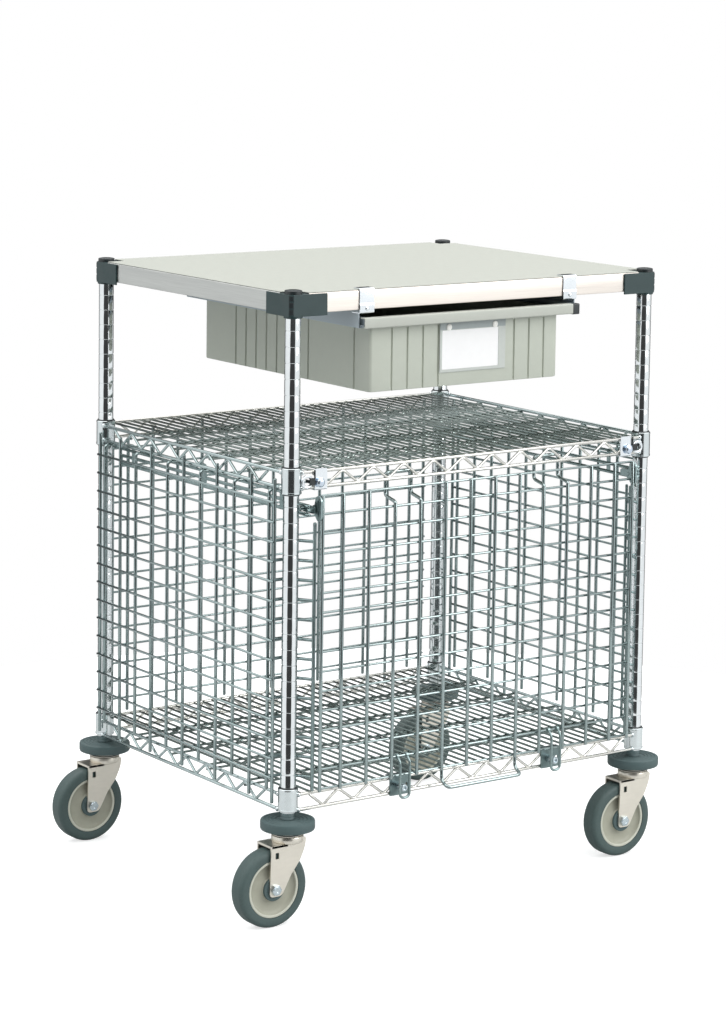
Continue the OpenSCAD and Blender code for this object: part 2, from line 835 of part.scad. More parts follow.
module fork() {
    difference() {
        union() {
            bar_z(0, 0, crown_z, fork_top, 52);
            translate([-44, -fork_half - fork_t, 131]) cube([44, 2 * (fork_half + fork_t), 4]);
            for (s = [-1, 1]) translate([0, s * (fork_half + fork_t / 2) + fork_t / 2, 0]) rotate([90, 0, 0])
                linear_extrude(fork_t) leg_outline();
        }
        bar_z(0, 0, 125, 150, 2 * (kingpin_r + running_gap));
        bar_z(0, 0, 125, 137.5, 21);
        translate([-trail, 30, wheel_r]) rotate([90, 0, 0]) cylinder(h = 60, r = axle_r + running_gap);
        translate([-36, -30, 113.5]) cube([leg_slot[0], 60, leg_slot[1]]);
    }
}

// Axle bolt with a hexagon head and a nut outside the fork legs
module axle() {
    reach = fork_half + fork_t;
    translate([-trail, reach + 4, wheel_r]) rotate([90, 0, 0]) cylinder(h = 2 * reach + 8, r = axle_r);
    for (s = [0, 1]) mirror([0, s, 0]) translate([-trail, -reach - gap, wheel_r]) rotate([90, 0, 0])
        cylinder(h = 5, r = 9, $fn = 6);
}

// Hub: a dished disc with a bearing boss and a bore for the axle
module hub() {
    half = wheel_w / 2;
    outline = [[axle_r + running_gap, -half - 0.8], [19, -half - 0.8], [19, -half + 5], [40, -half + 9],
        [43, -half + 2], [47, -half + 2], [47, half - 2], [43, half - 2], [40, half - 9], [19, half - 5],
        [19, half + 0.8], [axle_r + running_gap, half + 0.8]];
    translate([-trail, 0, wheel_r]) rotate([90, 0, 0]) rotate_extrude() polygon(outline);
}

// Tread: a ring with rounded shoulders
module tyre() {
    half = wheel_w / 2;
    shoulder = 7;
    crown = [for (a = [-90 : 15 : 90]) [wheel_r - shoulder + shoulder * cos(a),
        (half - shoulder) * (a < 0 ? -1 : 1) + shoulder * sin(a)]];
    translate([-trail, 0, wheel_r]) rotate([90, 0, 0])
        rotate_extrude() polygon(concat([[47 + gap, -half]], crown, [[47 + gap, half]]));
}

module at_corner(i) {
    at_cart() translate([corners[i][0], corners[i][1], 0]) children();
}

fork_tone = "#cdc7b8";
axle_tone = "#a9b3b5";
hub_tone = "#b4b1a2";
tyre_tone = "#4d5c61";

front_posts();
back_posts();
post_caps();
worksurface_top();
worksurface_rim();
worksurface_corners();
middle_shelf_deck();
middle_shelf_trusses();
middle_shelf_collars();
bottom_shelf_deck();
bottom_shelf_trusses();
bottom_shelf_collars();
shelf_sleeves();
release_brackets();
release_tabs();
release_button_left();
release_button_right();
side_panel_left();
side_panel_right();
back_panel();
panel_hooks();
door_jambs();
guide_rail_left();
guide_rail_right();
door_grid();
door_loops();
door_handle();
door_lugs();
door_carriers();
latch_bail_left();
latch_bail_right();
latch_brackets();
latch_studs();
drawer_tote();
drawer_front_rail();
drawer_end_cap();
drawer_channels();
drawer_runners();
drawer_clips();
label_pocket();
label_card();
label_rivets();
caster_stems();
bumpers();
color(fork_tone) at_corner(0) fork();  // fork_front_left
color(fork_tone) at_corner(1) fork();  // fork_front_right
color(fork_tone) at_corner(2) fork();  // fork_back_left
color(fork_tone) at_corner(3) fork();  // fork_back_right
color(axle_tone) at_corner(0) axle();  // axle_front_left
color(axle_tone) at_corner(1) axle();  // axle_front_right
color(axle_tone) at_corner(2) axle();  // axle_back_left
color(axle_tone) at_corner(3) axle();  // axle_back_right
color(hub_tone) at_corner(0) hub();  // hub_front_left
color(hub_tone) at_corner(1) hub();  // hub_front_right
color(hub_tone) at_corner(2) hub();  // hub_back_left
color(hub_tone) at_corner(3) hub();  // hub_back_right
color(tyre_tone) at_corner(0) tyre();  // tyre_front_left
color(tyre_tone) at_corner(1) tyre();  // tyre_front_right
color(tyre_tone) at_corner(2) tyre();  // tyre_back_left
color(tyre_tone) at_corner(3) tyre();  // tyre_back_right
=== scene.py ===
from math import copysign, cos, hypot, pi, radians, sin, tau
import bmesh
import bpy
from mathutils import Matrix, Vector
from mathutils.geometry import tessellate_polygon


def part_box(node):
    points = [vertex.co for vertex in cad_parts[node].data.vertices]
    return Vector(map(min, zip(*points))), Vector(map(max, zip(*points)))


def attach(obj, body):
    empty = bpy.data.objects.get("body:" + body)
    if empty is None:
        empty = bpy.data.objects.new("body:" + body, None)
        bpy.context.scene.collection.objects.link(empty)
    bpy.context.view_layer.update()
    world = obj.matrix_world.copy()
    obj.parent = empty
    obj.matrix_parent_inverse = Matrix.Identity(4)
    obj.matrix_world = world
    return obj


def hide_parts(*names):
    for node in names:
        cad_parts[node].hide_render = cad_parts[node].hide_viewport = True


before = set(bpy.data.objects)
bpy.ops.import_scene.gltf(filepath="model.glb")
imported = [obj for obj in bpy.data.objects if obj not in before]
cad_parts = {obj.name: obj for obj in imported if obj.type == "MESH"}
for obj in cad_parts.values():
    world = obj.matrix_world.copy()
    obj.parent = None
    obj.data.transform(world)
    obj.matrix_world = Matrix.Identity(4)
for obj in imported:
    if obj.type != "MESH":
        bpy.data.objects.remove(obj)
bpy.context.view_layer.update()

# ---- sizes, in millimetres about the cart's middle ----

TO_MM = 1000.0


def box_mm(node):
    """Lowest and highest corner of a CAD node, in millimetres."""
    low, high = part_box(node)
    return low * TO_MM, high * TO_MM


POSTS_LOW, POSTS_HIGH = box_mm("front_posts")
POST_R = (POSTS_HIGH.y - POSTS_LOW.y) / 2
MIDDLE_X = (POSTS_HIGH.x + POSTS_LOW.x) / 2
PX = (POSTS_HIGH.x - POSTS_LOW.x) / 2 - POST_R
PY = -(POSTS_LOW.y + POST_R)
POST_FOOT = POSTS_LOW.z
POST_TOP = POSTS_HIGH.z
POST_BORE_R = 11.1
GROOVE_PITCH = 25.4
TOP_GROOVE_DROP = 10.0
POST_EDGE = 0.8
WORK_Z = box_mm("worksurface_top")[1].z
CAP_TOP = box_mm("post_caps")[1].z
CAP_R = 14.0
CAP_BARREL_R = 10.9
CAP_BARREL_H = 14.0
CAP_DOME_H = 2.2

EDGE_R = 2.8
MID_Z = box_mm("middle_shelf_trusses")[1].z - EDGE_R
LOW_Z = box_mm("bottom_shelf_trusses")[1].z - EDGE_R
TRUSS_H = 25.0
ZIGZAG_PITCH = 60.0
ZIGZAG_R = 2.3
ZIGZAG_HALF_X = 300.0
ZIGZAG_HALF_Y = 210.0
ZIGZAG_TAIL = 27.0
ZIGZAG_INSET = 1.2
TX = PX + 11
TY = PY + 11
COLLAR_R = 16.5
COLLAR_BORE_R = 14.6
COLLAR_REACH = 14.0
COLLAR_FOOT = ((0.6, 0), (0, 0.7), (0, 3), (0.5, 3.2))
COLLAR_HEAD = ((0.6, 3.2), (0.2, 3), (0.3, 0.7), (0.9, 0))
WELD_BEAD = [(0, -3.2), (2.6, -2.9), (3.9, -1.5), (4.2, 0), (3.9, 1.5), (2.6, 2.9), (0, 3.2)]
DECK_R = 1.9
DECK_PITCH = 18.9
CROSS_R = 2.1
CROSS_DROP = 11.0
CROSS_ZIGZAG_R = 1.7
CROSS_Y = (-171, -57, 57, 171)

UPRIGHT_R = 2.9
RUNG_R = 2.0
UPRIGHT_PITCH = 50.8
RUNG_PITCH = 31.75
RUNG_STEP = UPRIGHT_R + RUNG_R - 0.5
SX = PX + 20
SY = PY + 17
RUNG_COUNT = 15
RUNG_Z = [236 + i * RUNG_PITCH for i in range(RUNG_COUNT)]
FOOT_TALL = LOW_Z - 16
FOOT_SHORT = LOW_Z + 4
HEAD_TALL = MID_Z - 10
HOOK_Z = MID_Z - TRUSS_H - EDGE_R - 2.7
HEAD_SHORT = HOOK_Z - 9
HOOK_R = UPRIGHT_R - 0.3
HOOK_REACH_SIDE = 22.0
HOOK_REACH_BACK = 12.0

DOOR_Y = -(PY + 29)
DOOR_RUNG_Y = DOOR_Y + RUNG_STEP
DOOR_HALF = 319.0
DOOR_FOOT = 213.0
DOOR_HEAD = 691.0
DOOR_TOP = 693.0
DOOR_RUNG_Z = [217 + i * RUNG_PITCH for i in range(RUNG_COUNT)]
HINGE_Y = -(PY + 14)
HINGE_Z = 668.0
LOOP_Y = -(PY + 1)
LOOP_TOP = 713.0
HANDLE_X = 1.5 * UPRIGHT_PITCH
HANDLE_Y = DOOR_Y - 17
HANDLE_Z = 188.0
LUG_X = DOOR_HALF + UPRIGHT_R + 0.2
LUG_T = 3.0
RAIL_X = PX - 22
RAIL_R = 3.0
RAIL_GAP = 14.0
RAIL_INSET = 22
STRAP_HALF = 4.0
STRAP_Y = (-228, 0, 228)
HANG_X = PX - 3
HANG_Z = HOOK_Z - 5.2
HANG_R = 2.5
JAMB_X = 325.5
JAMB_R = 3.0
JAMB_Y = -PY - 17
JAMB_BACK = (-PX + 8, -PY + 24)
JAMB_BACK_R = 2.5
JAMB_TOP = 648.0
JAMB_TIE_R = 2.6

LATCH_XS = {"left": -155.0, "right": 159.0}
BAIL_HALF = 9.5
BAIL_R = 2.2
BAIL_Y = DOOR_Y - UPRIGHT_R - BAIL_R - 0.9
BAIL_PIVOT_Z = DOOR_RUNG_Z[1]
BAIL_FOOT = 181.0
STUD_Z = 197.0
BRACKET_Y = -(TY + EDGE_R + 2.6)
BRACKET_T = 2.5

RIM_OFF = 11.5
RIM_H = 33.0
RIM_T = 1.2
RIM_EDGE = 1.4
RIM_SHORT = 22.5
BOARD_T = 19.0
BOARD_NOTCH = 33.0
LAMINATE_T = 0.9
CORNER_OFF = 14.5
CORNER_LEG = 70.0
CORNER_CORE = 36.5
CORNER_H = 35.0
CORNER_SKIN = 2.8
CORNER_CUT = 5.6

TOTE_LOW, TOTE_HIGH = box_mm("drawer_tote")
TOTE_LIP = 8.0
DRAWER_X = (TOTE_LOW.x + TOTE_HIGH.x) / 2 - MIDDLE_X
SLIDE_HALF = (TOTE_HIGH.x - TOTE_LOW.x) / 2 - TOTE_LIP
SLIDE_L = 508.0
TOTE_X = DRAWER_X - 6.5
TOTE_W = 383.0
TOTE_FRONT = TOTE_LOW.y
TOTE_L = TOTE_HIGH.y - TOTE_LOW.y
TOTE_TOP = TOTE_HIGH.z
TOTE_FOOT = TOTE_LOW.z
TOTE_WALL = 3.0
TOTE_CORNER_R = 6.0
RIB_GROOVE = 2.5
RIB_PITCH = 31.0
CHANNEL_Z = TOTE_TOP - 9

WHEEL_Z = 63.5
TRAIL = 35.0
FORK_HALF = 17.5
FORK_T = 3.0
WHEEL_HALF = 16.0
AXLE_R = 6.0
AXLE_BORE_R = 6.1
HUB_R = 47.0
STEM_R = 10.9
STEM_TOP = 246.0
RACE_Z = 145.5
BUMPER_Z = (153.5, 169.5)

CORNERS = {"front_left": (-PX, -PY), "front_right": (PX, -PY), "back_left": (-PX, PY), "back_right": (PX, PY)}


# ---- paths and outlines ----

def bent(points, bend, steps=5):
    """A path with each inner corner rounded off over up to bend millimetres."""
    points = [Vector(p) for p in points]
    path = [points[0]]
    for before, corner, after in zip(points, points[1:], points[2:]):
        back, on = before - corner, after - corner
        start = corner + back.normalized() * min(bend, back.length * 0.49)
        end = corner + on.normalized() * min(bend, on.length * 0.49)
        for i in range(steps + 1):
            t = i / steps
            path.append(start * (1 - t) ** 2 + corner * 2 * t * (1 - t) + end * t ** 2)
    return path + [points[-1]]


def rounded(outline, bend, steps=5):
    """A closed 2-D outline with every corner rounded off."""
    loop = [Vector((u, v, 0)) for u, v in outline]
    path = bent([(loop[-1] + loop[0]) / 2] + loop + [(loop[-1] + loop[0]) / 2], bend, steps)
    return [(p.x, p.y) for p in path[1:-1]]


def rect(u0, v0, u1, v1):
    return [(u0, v0), (u1, v0), (u1, v1), (u0, v1)]


def circle(u, v, r, count=28):
    angles = [tau * i / count for i in range(count)]
    return [(u + r * cos(a), v + r * sin(a)) for a in angles]


def arc(u, v, r, first, last, steps=8):
    """Points on a circle between two angles in degrees."""
    angles = [radians(first + (last - first) * i / steps) for i in range(steps + 1)]
    return [(u + r * cos(a), v + r * sin(a)) for a in angles]


def folded(path, thickness, bend=2.0):
    """Closed outline of a sheet of that thickness folded along a 2-D path, to the path's left."""
    line = bent([Vector((u, v, 0)) for u, v in path], bend, 4)
    other = []
    for i, p in enumerate(line):
        ways = [(line[j + 1] - line[j]).normalized() for j in (i - 1, i) if 0 <= j < len(line) - 1]
        sides = [Vector((-w.y, w.x, 0)) for w in ways]
        mean = sum(sides, Vector((0, 0, 0))).normalized()
        other.append(p + mean * thickness / max(0.4, mean.dot(sides[0])))
    return [(p.x, p.y) for p in line] + [(p.x, p.y) for p in reversed(other)]


# ---- mesh building ----

DOME_ANGLES = [radians(a) for a in (30, 60, 90)]
DOME_DEPTH = 0.6


def rings_along(path, radius):
    """Ring centres, directions and radii of a wire with a slightly domed cut at each end."""
    head = (path[1] - path[0]).normalized()
    tail = (path[-1] - path[-2]).normalized()
    rings = [(path[0] + head * radius * DOME_DEPTH * (1 - cos(a)), head, radius * sin(a))
             for a in DOME_ANGLES]
    for before, here, after in zip(path, path[1:], path[2:]):
        way = (here - before).normalized() + (after - here).normalized()
        rings.append((here, way.normalized(), radius))
    rings += [(path[-1] - tail * radius * DOME_DEPTH * (1 - cos(a)), tail, radius * sin(a))
              for a in reversed(DOME_ANGLES)]
    return rings


def at_axis(axis, u, v, along):
    """A point of a 2-D outline placed at a distance along X, Y or Z."""
    return Vector({"X": (along, u, v), "Y": (u, along, v), "Z": (u, v, along)}[axis])


def in_scene(name, data):
    """A new object, linked to the scene."""
    made = bpy.data.objects.new(name, data)
    bpy.context.scene.collection.objects.link(made)
    return made


class Shape:
    """Collects the closed shells of one piece, in millimetres about the cart's middle."""

    def __init__(self):
        self.verts = []
        self.faces = []
        self.slots = []

    def add(self, verts, faces, slots):
        start = len(self.verts)
        self.verts += verts
        self.faces += [[start + i for i in face] for face in faces]
        self.slots += slots if isinstance(slots, list) else [slots] * len(faces)

    def tube(self, path, radius, sides=12, slot=0):
        """A round wire along a path."""
        path = [Vector(p) for p in path]
        side = Vector((1, 0, 0)) if abs((path[1] - path[0]).normalized().x) < 0.8 else Vector((0, 0, 1))
        verts = [path[0]]
        for centre, way, size in rings_along(path, radius):
            side = (side - way * side.dot(way)).normalized()
            other = way.cross(side)
            for k in range(sides):
                a = tau * k / sides
                verts.append(centre + (side * cos(a) + other * sin(a)) * size)
        verts.append(path[-1])
        last = len(verts) - 1
        faces = []
        for k in range(sides):
            n = (k + 1) % sides
            faces.append([0, 1 + n, 1 + k])
            faces.append([last, last - sides + k, last - sides + n])
            faces += [[1 + r + k, 1 + r + n, 1 + r + sides + n, 1 + r + sides + k]
                      for r in range(0, last - 1 - sides, sides)]
        self.add(verts, faces, slot)

    def wire(self, points, radius, bend, sides=12, slot=0):
        self.tube(bent(points, bend), radius, sides, slot)

    def lathe(self, outline, centre=(0, 0, 0), axis="Z", steps=48, slot=0):
        """A closed outline of (radius, height) points turned round an axis."""
        rows, verts = [], []
        for r, h in outline:
            count = 1 if r == 0 else steps
            rows.append([len(verts) + k for k in range(count)])
            for k in range(count):
                a = tau * k / steps
                verts.append(at_axis(axis, r * cos(a), r * sin(a), h) + Vector(centre))
        faces = []
        for row, after in zip(rows, rows[1:] + rows[:1]):
            if len(row) == 1 and len(after) == 1:
                continue
            for k in range(steps):
                n = (k + 1) % steps
                quad = [row[k % len(row)], row[n % len(row)], after[n % len(after)], after[k % len(after)]]
                faces.append(list(dict.fromkeys(quad)))
        self.add(verts, faces, slot)

    def prism(self, outline, low, high, axis="Z", holes=(), slot=0):
        """A flat outline, with any holes, drawn out along an axis."""
        loops = [list(outline)] + [list(h) for h in holes]
        points = [p for loop in loops for p in loop]
        count = len(points)
        verts = [at_axis(axis, u, v, w) for w in (low, high) for u, v in points]
        if holes:
            rims = [[Vector((u, v, 0)) for u, v in loop] for loop in loops]
            flat = [list(t) for t in tessellate_polygon(rims)]
        else:
            flat = [list(range(count))]
        faces = flat + [[i + count for i in reversed(face)] for face in flat]
        start = 0
        for loop in loops:
            size = len(loop)
            for i in range(size):
                a, b = start + i, start + (i + 1) % size
                faces.append([a, b, b + count, a + count])
            start += size
        self.add(verts, faces, slot)

    def block(self, low, high, slot=0):
        (x0, y0, z0), (x1, y1, z1) = low, high
        self.prism(rect(x0, y0, x1, y1), z0, z1, slot=slot)

    def loft(self, loops, slot=0):
        """Closed skin over matching loops of points, with a flat face on the first and the last."""
        size = len(loops[0])
        verts = [Vector(p) for loop in loops for p in loop]
        faces = [list(range(size)), [size * (len(loops) - 1) + i for i in reversed(range(size))]]
        for start in range(0, size * (len(loops) - 1), size):
            for i in range(size):
                n = (i + 1) % size
                faces.append([start + i, start + n, start + size + n, start + size + i])
        self.add(verts, faces, slot)

    def copies(self, *moves):
        """Replaces the content with one copy for each move, a function from point to point."""
        verts, faces, slots = self.verts, self.faces, self.slots
        self.verts, self.faces, self.slots = [], [], []
        for move in moves:
            self.add([move(v) for v in verts], faces, list(slots))
        return self

    def build(self, name, materials, body="root", replaces="", bevel=0.0, sharp=38):
        """Makes the Blender object, which rides on a body and stands for its CAD nodes."""
        mesh = bpy.data.meshes.new(name)
        mesh.from_pydata([(v + Vector((MIDDLE_X, 0, 0))) / TO_MM for v in self.verts], [], self.faces)
        made = bmesh.new()
        made.from_mesh(mesh)
        bmesh.ops.recalc_face_normals(made, faces=made.faces)
        made.to_mesh(mesh)
        made.free()
        for face, index in zip(mesh.polygons, self.slots):
            face.material_index = index
        mesh.shade_smooth()
        mesh.set_sharp_from_angle(angle=radians(sharp))
        for item in [materials] if isinstance(materials, str) else materials:
            mesh.materials.append(MATERIALS[item])
        piece = in_scene(name, mesh)
        if bevel:
            soft = piece.modifiers.new("soft_edges", "BEVEL")
            soft.width = bevel / TO_MM
            soft.segments = 2
            soft.limit_method = "ANGLE"
            soft.angle_limit = radians(sharp)
            soft.harden_normals = True
        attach(piece, body)
        if replaces:
            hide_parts(replaces)
        return piece


def same(v):
    return v.copy()


def left_right(v):
    return Vector((-v.x, v.y, v.z))


def moved(x=0, y=0, z=0):
    return lambda v: v + Vector((x, y, z))


def at_corners():
    """Moves that put a shape made round the origin on all four posts."""
    return [moved(x, y) for x, y in CORNERS.values()]


# ---- materials ----

FINE_DETAIL = 5
BROAD_DETAIL = 3
BROAD_TIMES = 12
SHADE_STOPS = (0.3, 0.72)
GLOSS_FROM, GLOSS_TO = 0.35, 0.65
RELIEF = 0.0003


def add_node(tree, kind, **values):
    """A new shader node with constants on its inputs."""
    made = tree.nodes.new("ShaderNode" + kind)
    for socket, value in values.items():
        made.inputs[socket.replace("_", " ")].default_value = value
    return made


def material(name, colour, metallic, rough, tone, scale, bump, grain=(1, 1, 1), specular=0.5):
    """A surface whose tone, roughness and relief follow a noise; grain stretches the noise."""
    made = bpy.data.materials.new(name)
    made.use_nodes = True
    tree = made.node_tree
    link = tree.links.new
    surface = tree.nodes["Principled BSDF"]
    surface.inputs["Metallic"].default_value = metallic
    surface.inputs["Specular IOR Level"].default_value = specular
    place = add_node(tree, "TexCoord")
    stretch = add_node(tree, "Mapping", Scale=grain)
    link(place.outputs["Object"], stretch.inputs["Vector"])
    fine = add_node(tree, "TexNoise", Scale=scale, Detail=FINE_DETAIL)
    broad = add_node(tree, "TexNoise", Scale=scale / BROAD_TIMES, Detail=BROAD_DETAIL)
    for noise in (fine, broad):
        link(stretch.outputs["Vector"], noise.inputs["Vector"])
    both = add_node(tree, "Math")
    both.operation = "ADD"
    link(fine.outputs["Fac"], both.inputs[0])
    link(broad.outputs["Fac"], both.inputs[1])
    half = add_node(tree, "Math")
    half.operation = "MULTIPLY"
    half.inputs[1].default_value = 0.5
    link(both.outputs[0], half.inputs[0])
    shades = add_node(tree, "ValToRGB")
    ends = ([max(0.0, c * (1 - tone)) for c in colour], [min(1.0, c * (1 + tone * 0.6)) for c in colour])
    for stop, position, shade in zip(shades.color_ramp.elements, SHADE_STOPS, ends):
        stop.position = position
        stop.color = (*shade, 1)
    link(half.outputs[0], shades.inputs["Fac"])
    link(shades.outputs["Color"], surface.inputs["Base Color"])
    gloss = add_node(tree, "MapRange", From_Min=GLOSS_FROM, From_Max=GLOSS_TO, To_Min=rough[0],
                     To_Max=rough[1])
    link(broad.outputs["Fac"], gloss.inputs["Value"])
    link(gloss.outputs["Result"], surface.inputs["Roughness"])
    if bump:
        height = add_node(tree, "Bump", Strength=bump, Distance=RELIEF)
        link(fine.outputs["Fac"], height.inputs["Height"])
        link(height.outputs["Normal"], surface.inputs["Normal"])
    return made


# name, colour, metallic, roughness from and to, tone, scale, bump, grain, specular level
LOOKS = (
    ("post_chrome", (0.84, 0.87, 0.88), 1.0, (0.05, 0.12), 0.06, 90, 0.02),
    ("collar_chrome", (0.70, 0.75, 0.76), 1.0, (0.10, 0.20), 0.08, 120, 0.05),
    # truss_chrome and side_chrome are one chrome in two tones: the front and back truss wires are painted
    # lighter and warmer, the side truss wires darker: painted light and shade
    ("truss_chrome", (0.74, 0.73, 0.69), 1.0, (0.14, 0.26), 0.10, 160, 0.05),
    ("side_chrome", (0.46, 0.54, 0.54), 1.0, (0.14, 0.26), 0.12, 160, 0.05),
    ("deck_chrome", (0.30, 0.35, 0.33), 1.0, (0.10, 0.20), 0.20, 160, 0.06),
    # The bottom deck's wires are the same chrome as the middle deck's, painted darker: painted shade under
    # the middle shelf
    ("low_deck_chrome", (0.16, 0.20, 0.19), 1.0, (0.10, 0.20), 0.20, 160, 0.06),
    ("panel_chrome", (0.34, 0.41, 0.41), 1.0, (0.09, 0.19), 0.16, 160, 0.05),
    ("door_chrome", (0.37, 0.44, 0.44), 1.0, (0.08, 0.18), 0.14, 160, 0.05),
    ("bright_steel", (0.84, 0.88, 0.91), 1.0, (0.10, 0.20), 0.05, 120, 0.03),
    ("button_steel", (0.62, 0.70, 0.80), 1.0, (0.16, 0.28), 0.06, 120, 0.03),
    ("zinc", (0.30, 0.38, 0.38), 1.0, (0.20, 0.36), 0.22, 220, 0.08),
    ("bracket_zinc", (0.19, 0.25, 0.25), 1.0, (0.22, 0.38), 0.22, 220, 0.08),
    ("bolt_zinc", (0.58, 0.66, 0.70), 1.0, (0.18, 0.32), 0.15, 260, 0.08),
    ("nickel", (0.74, 0.70, 0.62), 1.0, (0.26, 0.40), 0.06, 70, 0.05, (1, 1, 3)),
    ("black_plastic", (0.020, 0.026, 0.028), 0.0, (0.30, 0.42), 0.2, 400, 0.12),
    ("slate_plastic", (0.018, 0.042, 0.043), 0.0, (0.34, 0.46), 0.15, 500, 0.15),
    ("laminate", (0.46, 0.475, 0.43), 0.0, (0.46, 0.56), 0.035, 900, 0.08, (1, 1, 1), 0.25),
    # stainless_x and stainless_y are one brushed steel, with brush lines along X and along Y; the front and
    # back strips are painted lighter and warmer, the side strips darker: painted light and shade
    ("stainless_x", (0.82, 0.76, 0.70), 1.0, (0.30, 0.42), 0.12, 60, 0.12, (0.25, 14, 14)),
    ("stainless_y", (0.60, 0.61, 0.59), 1.0, (0.28, 0.42), 0.16, 60, 0.12, (14, 0.25, 14)),
    ("board_core", (0.05, 0.06, 0.06), 0.0, (0.5, 0.6), 0.1, 400, 0.1),
    ("tote_plastic", (0.50, 0.53, 0.46), 0.0, (0.40, 0.52), 0.05, 700, 0.12),
    ("beige_metal", (0.46, 0.48, 0.43), 0.0, (0.34, 0.44), 0.04, 600, 0.08),
    ("grey_metal", (0.42, 0.49, 0.53), 0.0, (0.34, 0.46), 0.06, 500, 0.08),
    ("vinyl", (0.52, 0.55, 0.52), 0.0, (0.16, 0.28), 0.05, 200, 0.10),
    ("vinyl_band", (0.33, 0.37, 0.37), 0.0, (0.16, 0.28), 0.05, 200, 0.10),
    ("card", (0.88, 0.88, 0.88), 0.0, (0.80, 0.90), 0.03, 900, 0.06),
    ("white_plastic", (0.86, 0.86, 0.82), 0.0, (0.25, 0.35), 0.04, 300, 0.04),
    ("bumper_rubber", (0.060, 0.098, 0.100), 0.0, (0.48, 0.62), 0.12, 320, 0.22),
    ("tread", (0.055, 0.088, 0.085), 0.0, (0.46, 0.62), 0.16, 260, 0.20),
    ("hub_plastic", (0.36, 0.36, 0.29), 0.0, (0.36, 0.50), 0.10, 120, 0.12),
    ("hub_rim", (0.52, 0.53, 0.45), 0.0, (0.30, 0.42), 0.06, 200, 0.08),
    ("floor_paint", (0.52, 0.53, 0.53), 0.0, (0.6, 0.7), 0.01, 3, 0.0),
)
MATERIALS = {look[0]: material(*look) for look in LOOKS}


# ---- posts and worksurface ----

def posts():
    outline = [(POST_BORE_R, POST_FOOT), (POST_R - POST_EDGE, POST_FOOT), (POST_R, POST_FOOT + POST_EDGE)]
    grooves = int((WORK_Z - POST_FOOT - 2 * TOP_GROOVE_DROP) // GROOVE_PITCH)
    for i in range(grooves, 0, -1):
        z = WORK_Z - TOP_GROOVE_DROP - i * GROOVE_PITCH
        outline += [(POST_R, z - 0.6), (POST_R - 0.7, z + 0.9), (POST_R - 0.6, z + 1.3), (POST_R, z + 1.8)]
    outline += [(POST_R, POST_TOP - POST_EDGE), (POST_R - POST_EDGE, POST_TOP), (POST_BORE_R, POST_TOP)]
    for side, y in (("front", -PY), ("back", PY)):
        shape = Shape()
        for x in (-PX, PX):
            shape.lathe(outline, (x, y, 0), steps=40)
        shape.build(f"{side}_post_tubes", "post_chrome", replaces=f"{side}_posts", sharp=50)


def post_caps():
    cap = Shape()
    low = WORK_Z - 2
    dome = [(CAP_R * sin(a), CAP_TOP - CAP_DOME_H + CAP_DOME_H * cos(a))
            for a in (1.45, 1.25, 1.0, 0.7, 0.35)]
    barrel = [(0, low - CAP_BARREL_H), (CAP_BARREL_R, low - CAP_BARREL_H), (CAP_BARREL_R, low), (CAP_R, low)]
    cap.lathe(barrel + dome + [(0, CAP_TOP)], steps=40)
    cap.copies(*at_corners())
    cap.build("post_cap_domes", "black_plastic", replaces="post_caps")


def worksurface():
    reach_x, reach_y = PX + RIM_OFF - RIM_EDGE, PY + RIM_OFF - RIM_EDGE
    inner_x, inner_y = reach_x - BOARD_NOTCH, reach_y - BOARD_NOTCH
    quarter = [(inner_x, reach_y), (inner_x, inner_y), (reach_x, inner_y)]
    outline = quarter + [(x, -y) for x, y in reversed(quarter)]
    outline += [(-x, -y) for x, y in quarter] + [(-x, y) for x, y in reversed(quarter)]
    board = Shape()
    board.prism(outline, WORK_Z - BOARD_T, WORK_Z - LAMINATE_T, slot=1)
    board.prism(outline, WORK_Z - LAMINATE_T, WORK_Z)
    board.build("worksurface_board", ["laminate", "board_core"],
                replaces="worksurface_top", bevel=0.3)

    rim = Shape()
    top, foot = WORK_Z - 1.4, WORK_Z - RIM_H
    for slot, (axis, half, off) in enumerate((("X", PX - RIM_SHORT, PY + RIM_OFF),
                                              ("Y", PY - RIM_SHORT, PX + RIM_OFF))):
        path = [(-off + RIM_EDGE, top), (-off, top - 1.2), (-off, foot), (-off + 12, foot)]
        face = folded(path, RIM_T, 1.6)
        rim.prism(face, -half, half, axis, slot=slot)
        rim.prism([(-u, z) for u, z in face], -half, half, axis, slot=slot)
    # Front and back strips take the lighter steel, side strips the darker one: painted light and shade
    rim.build("worksurface_rim_strips", ["stainless_x", "stainless_y"],
              replaces="worksurface_rim", bevel=0.3)

    corner = Shape()
    low, top = WORK_Z - 2.2 - CORNER_H, WORK_Z - 2.2
    o, core, leg, skin, cut = -CORNER_OFF, CORNER_CORE, CORNER_LEG, CORNER_SKIN, CORNER_CUT
    plan = [(o + cut, o), (o + leg, o), (o + leg, o + skin), (o + core, o + skin), (o + core, o + core),
            (o + skin, o + core), (o + skin, o + leg), (o, o + leg), (o, o + cut)]
    bore = POST_R + 0.2
    corner.prism(plan, low, top, holes=[circle(0, 0, bore, 40)])
    corner.lathe(rect(bore, low - 3, 15, low + 0.5), steps=40)
    edge = hypot(cut, cut) / 2 - 1.3
    mid = o + cut / 2
    for z0, z1 in ((low + 3, low + 12), (low + 14, low + 23), (low + 25, low + 33)):
        strip = [(mid - edge, mid + edge), (mid + edge, mid - edge), (mid + edge + 1, mid - edge + 1),
                 (mid - edge + 1, mid + edge + 1)]
        corner.prism([(x - 0.35, y - 0.35) for x, y in strip], z0, z1, slot=1)
    corner.copies(lambda v: v + Vector((-PX, -PY, 0)),
                  lambda v: Vector((PX - v.x, v.y - PY, v.z)),
                  lambda v: Vector((v.x - PX, PY - v.y, v.z)),
                  lambda v: Vector((PX - v.x, PY - v.y, v.z)))
    corner.build("worksurface_corner_blocks", ["slate_plastic", "black_plastic"],
                 replaces="worksurface_corners", bevel=0.9)


# ---- shelves ----

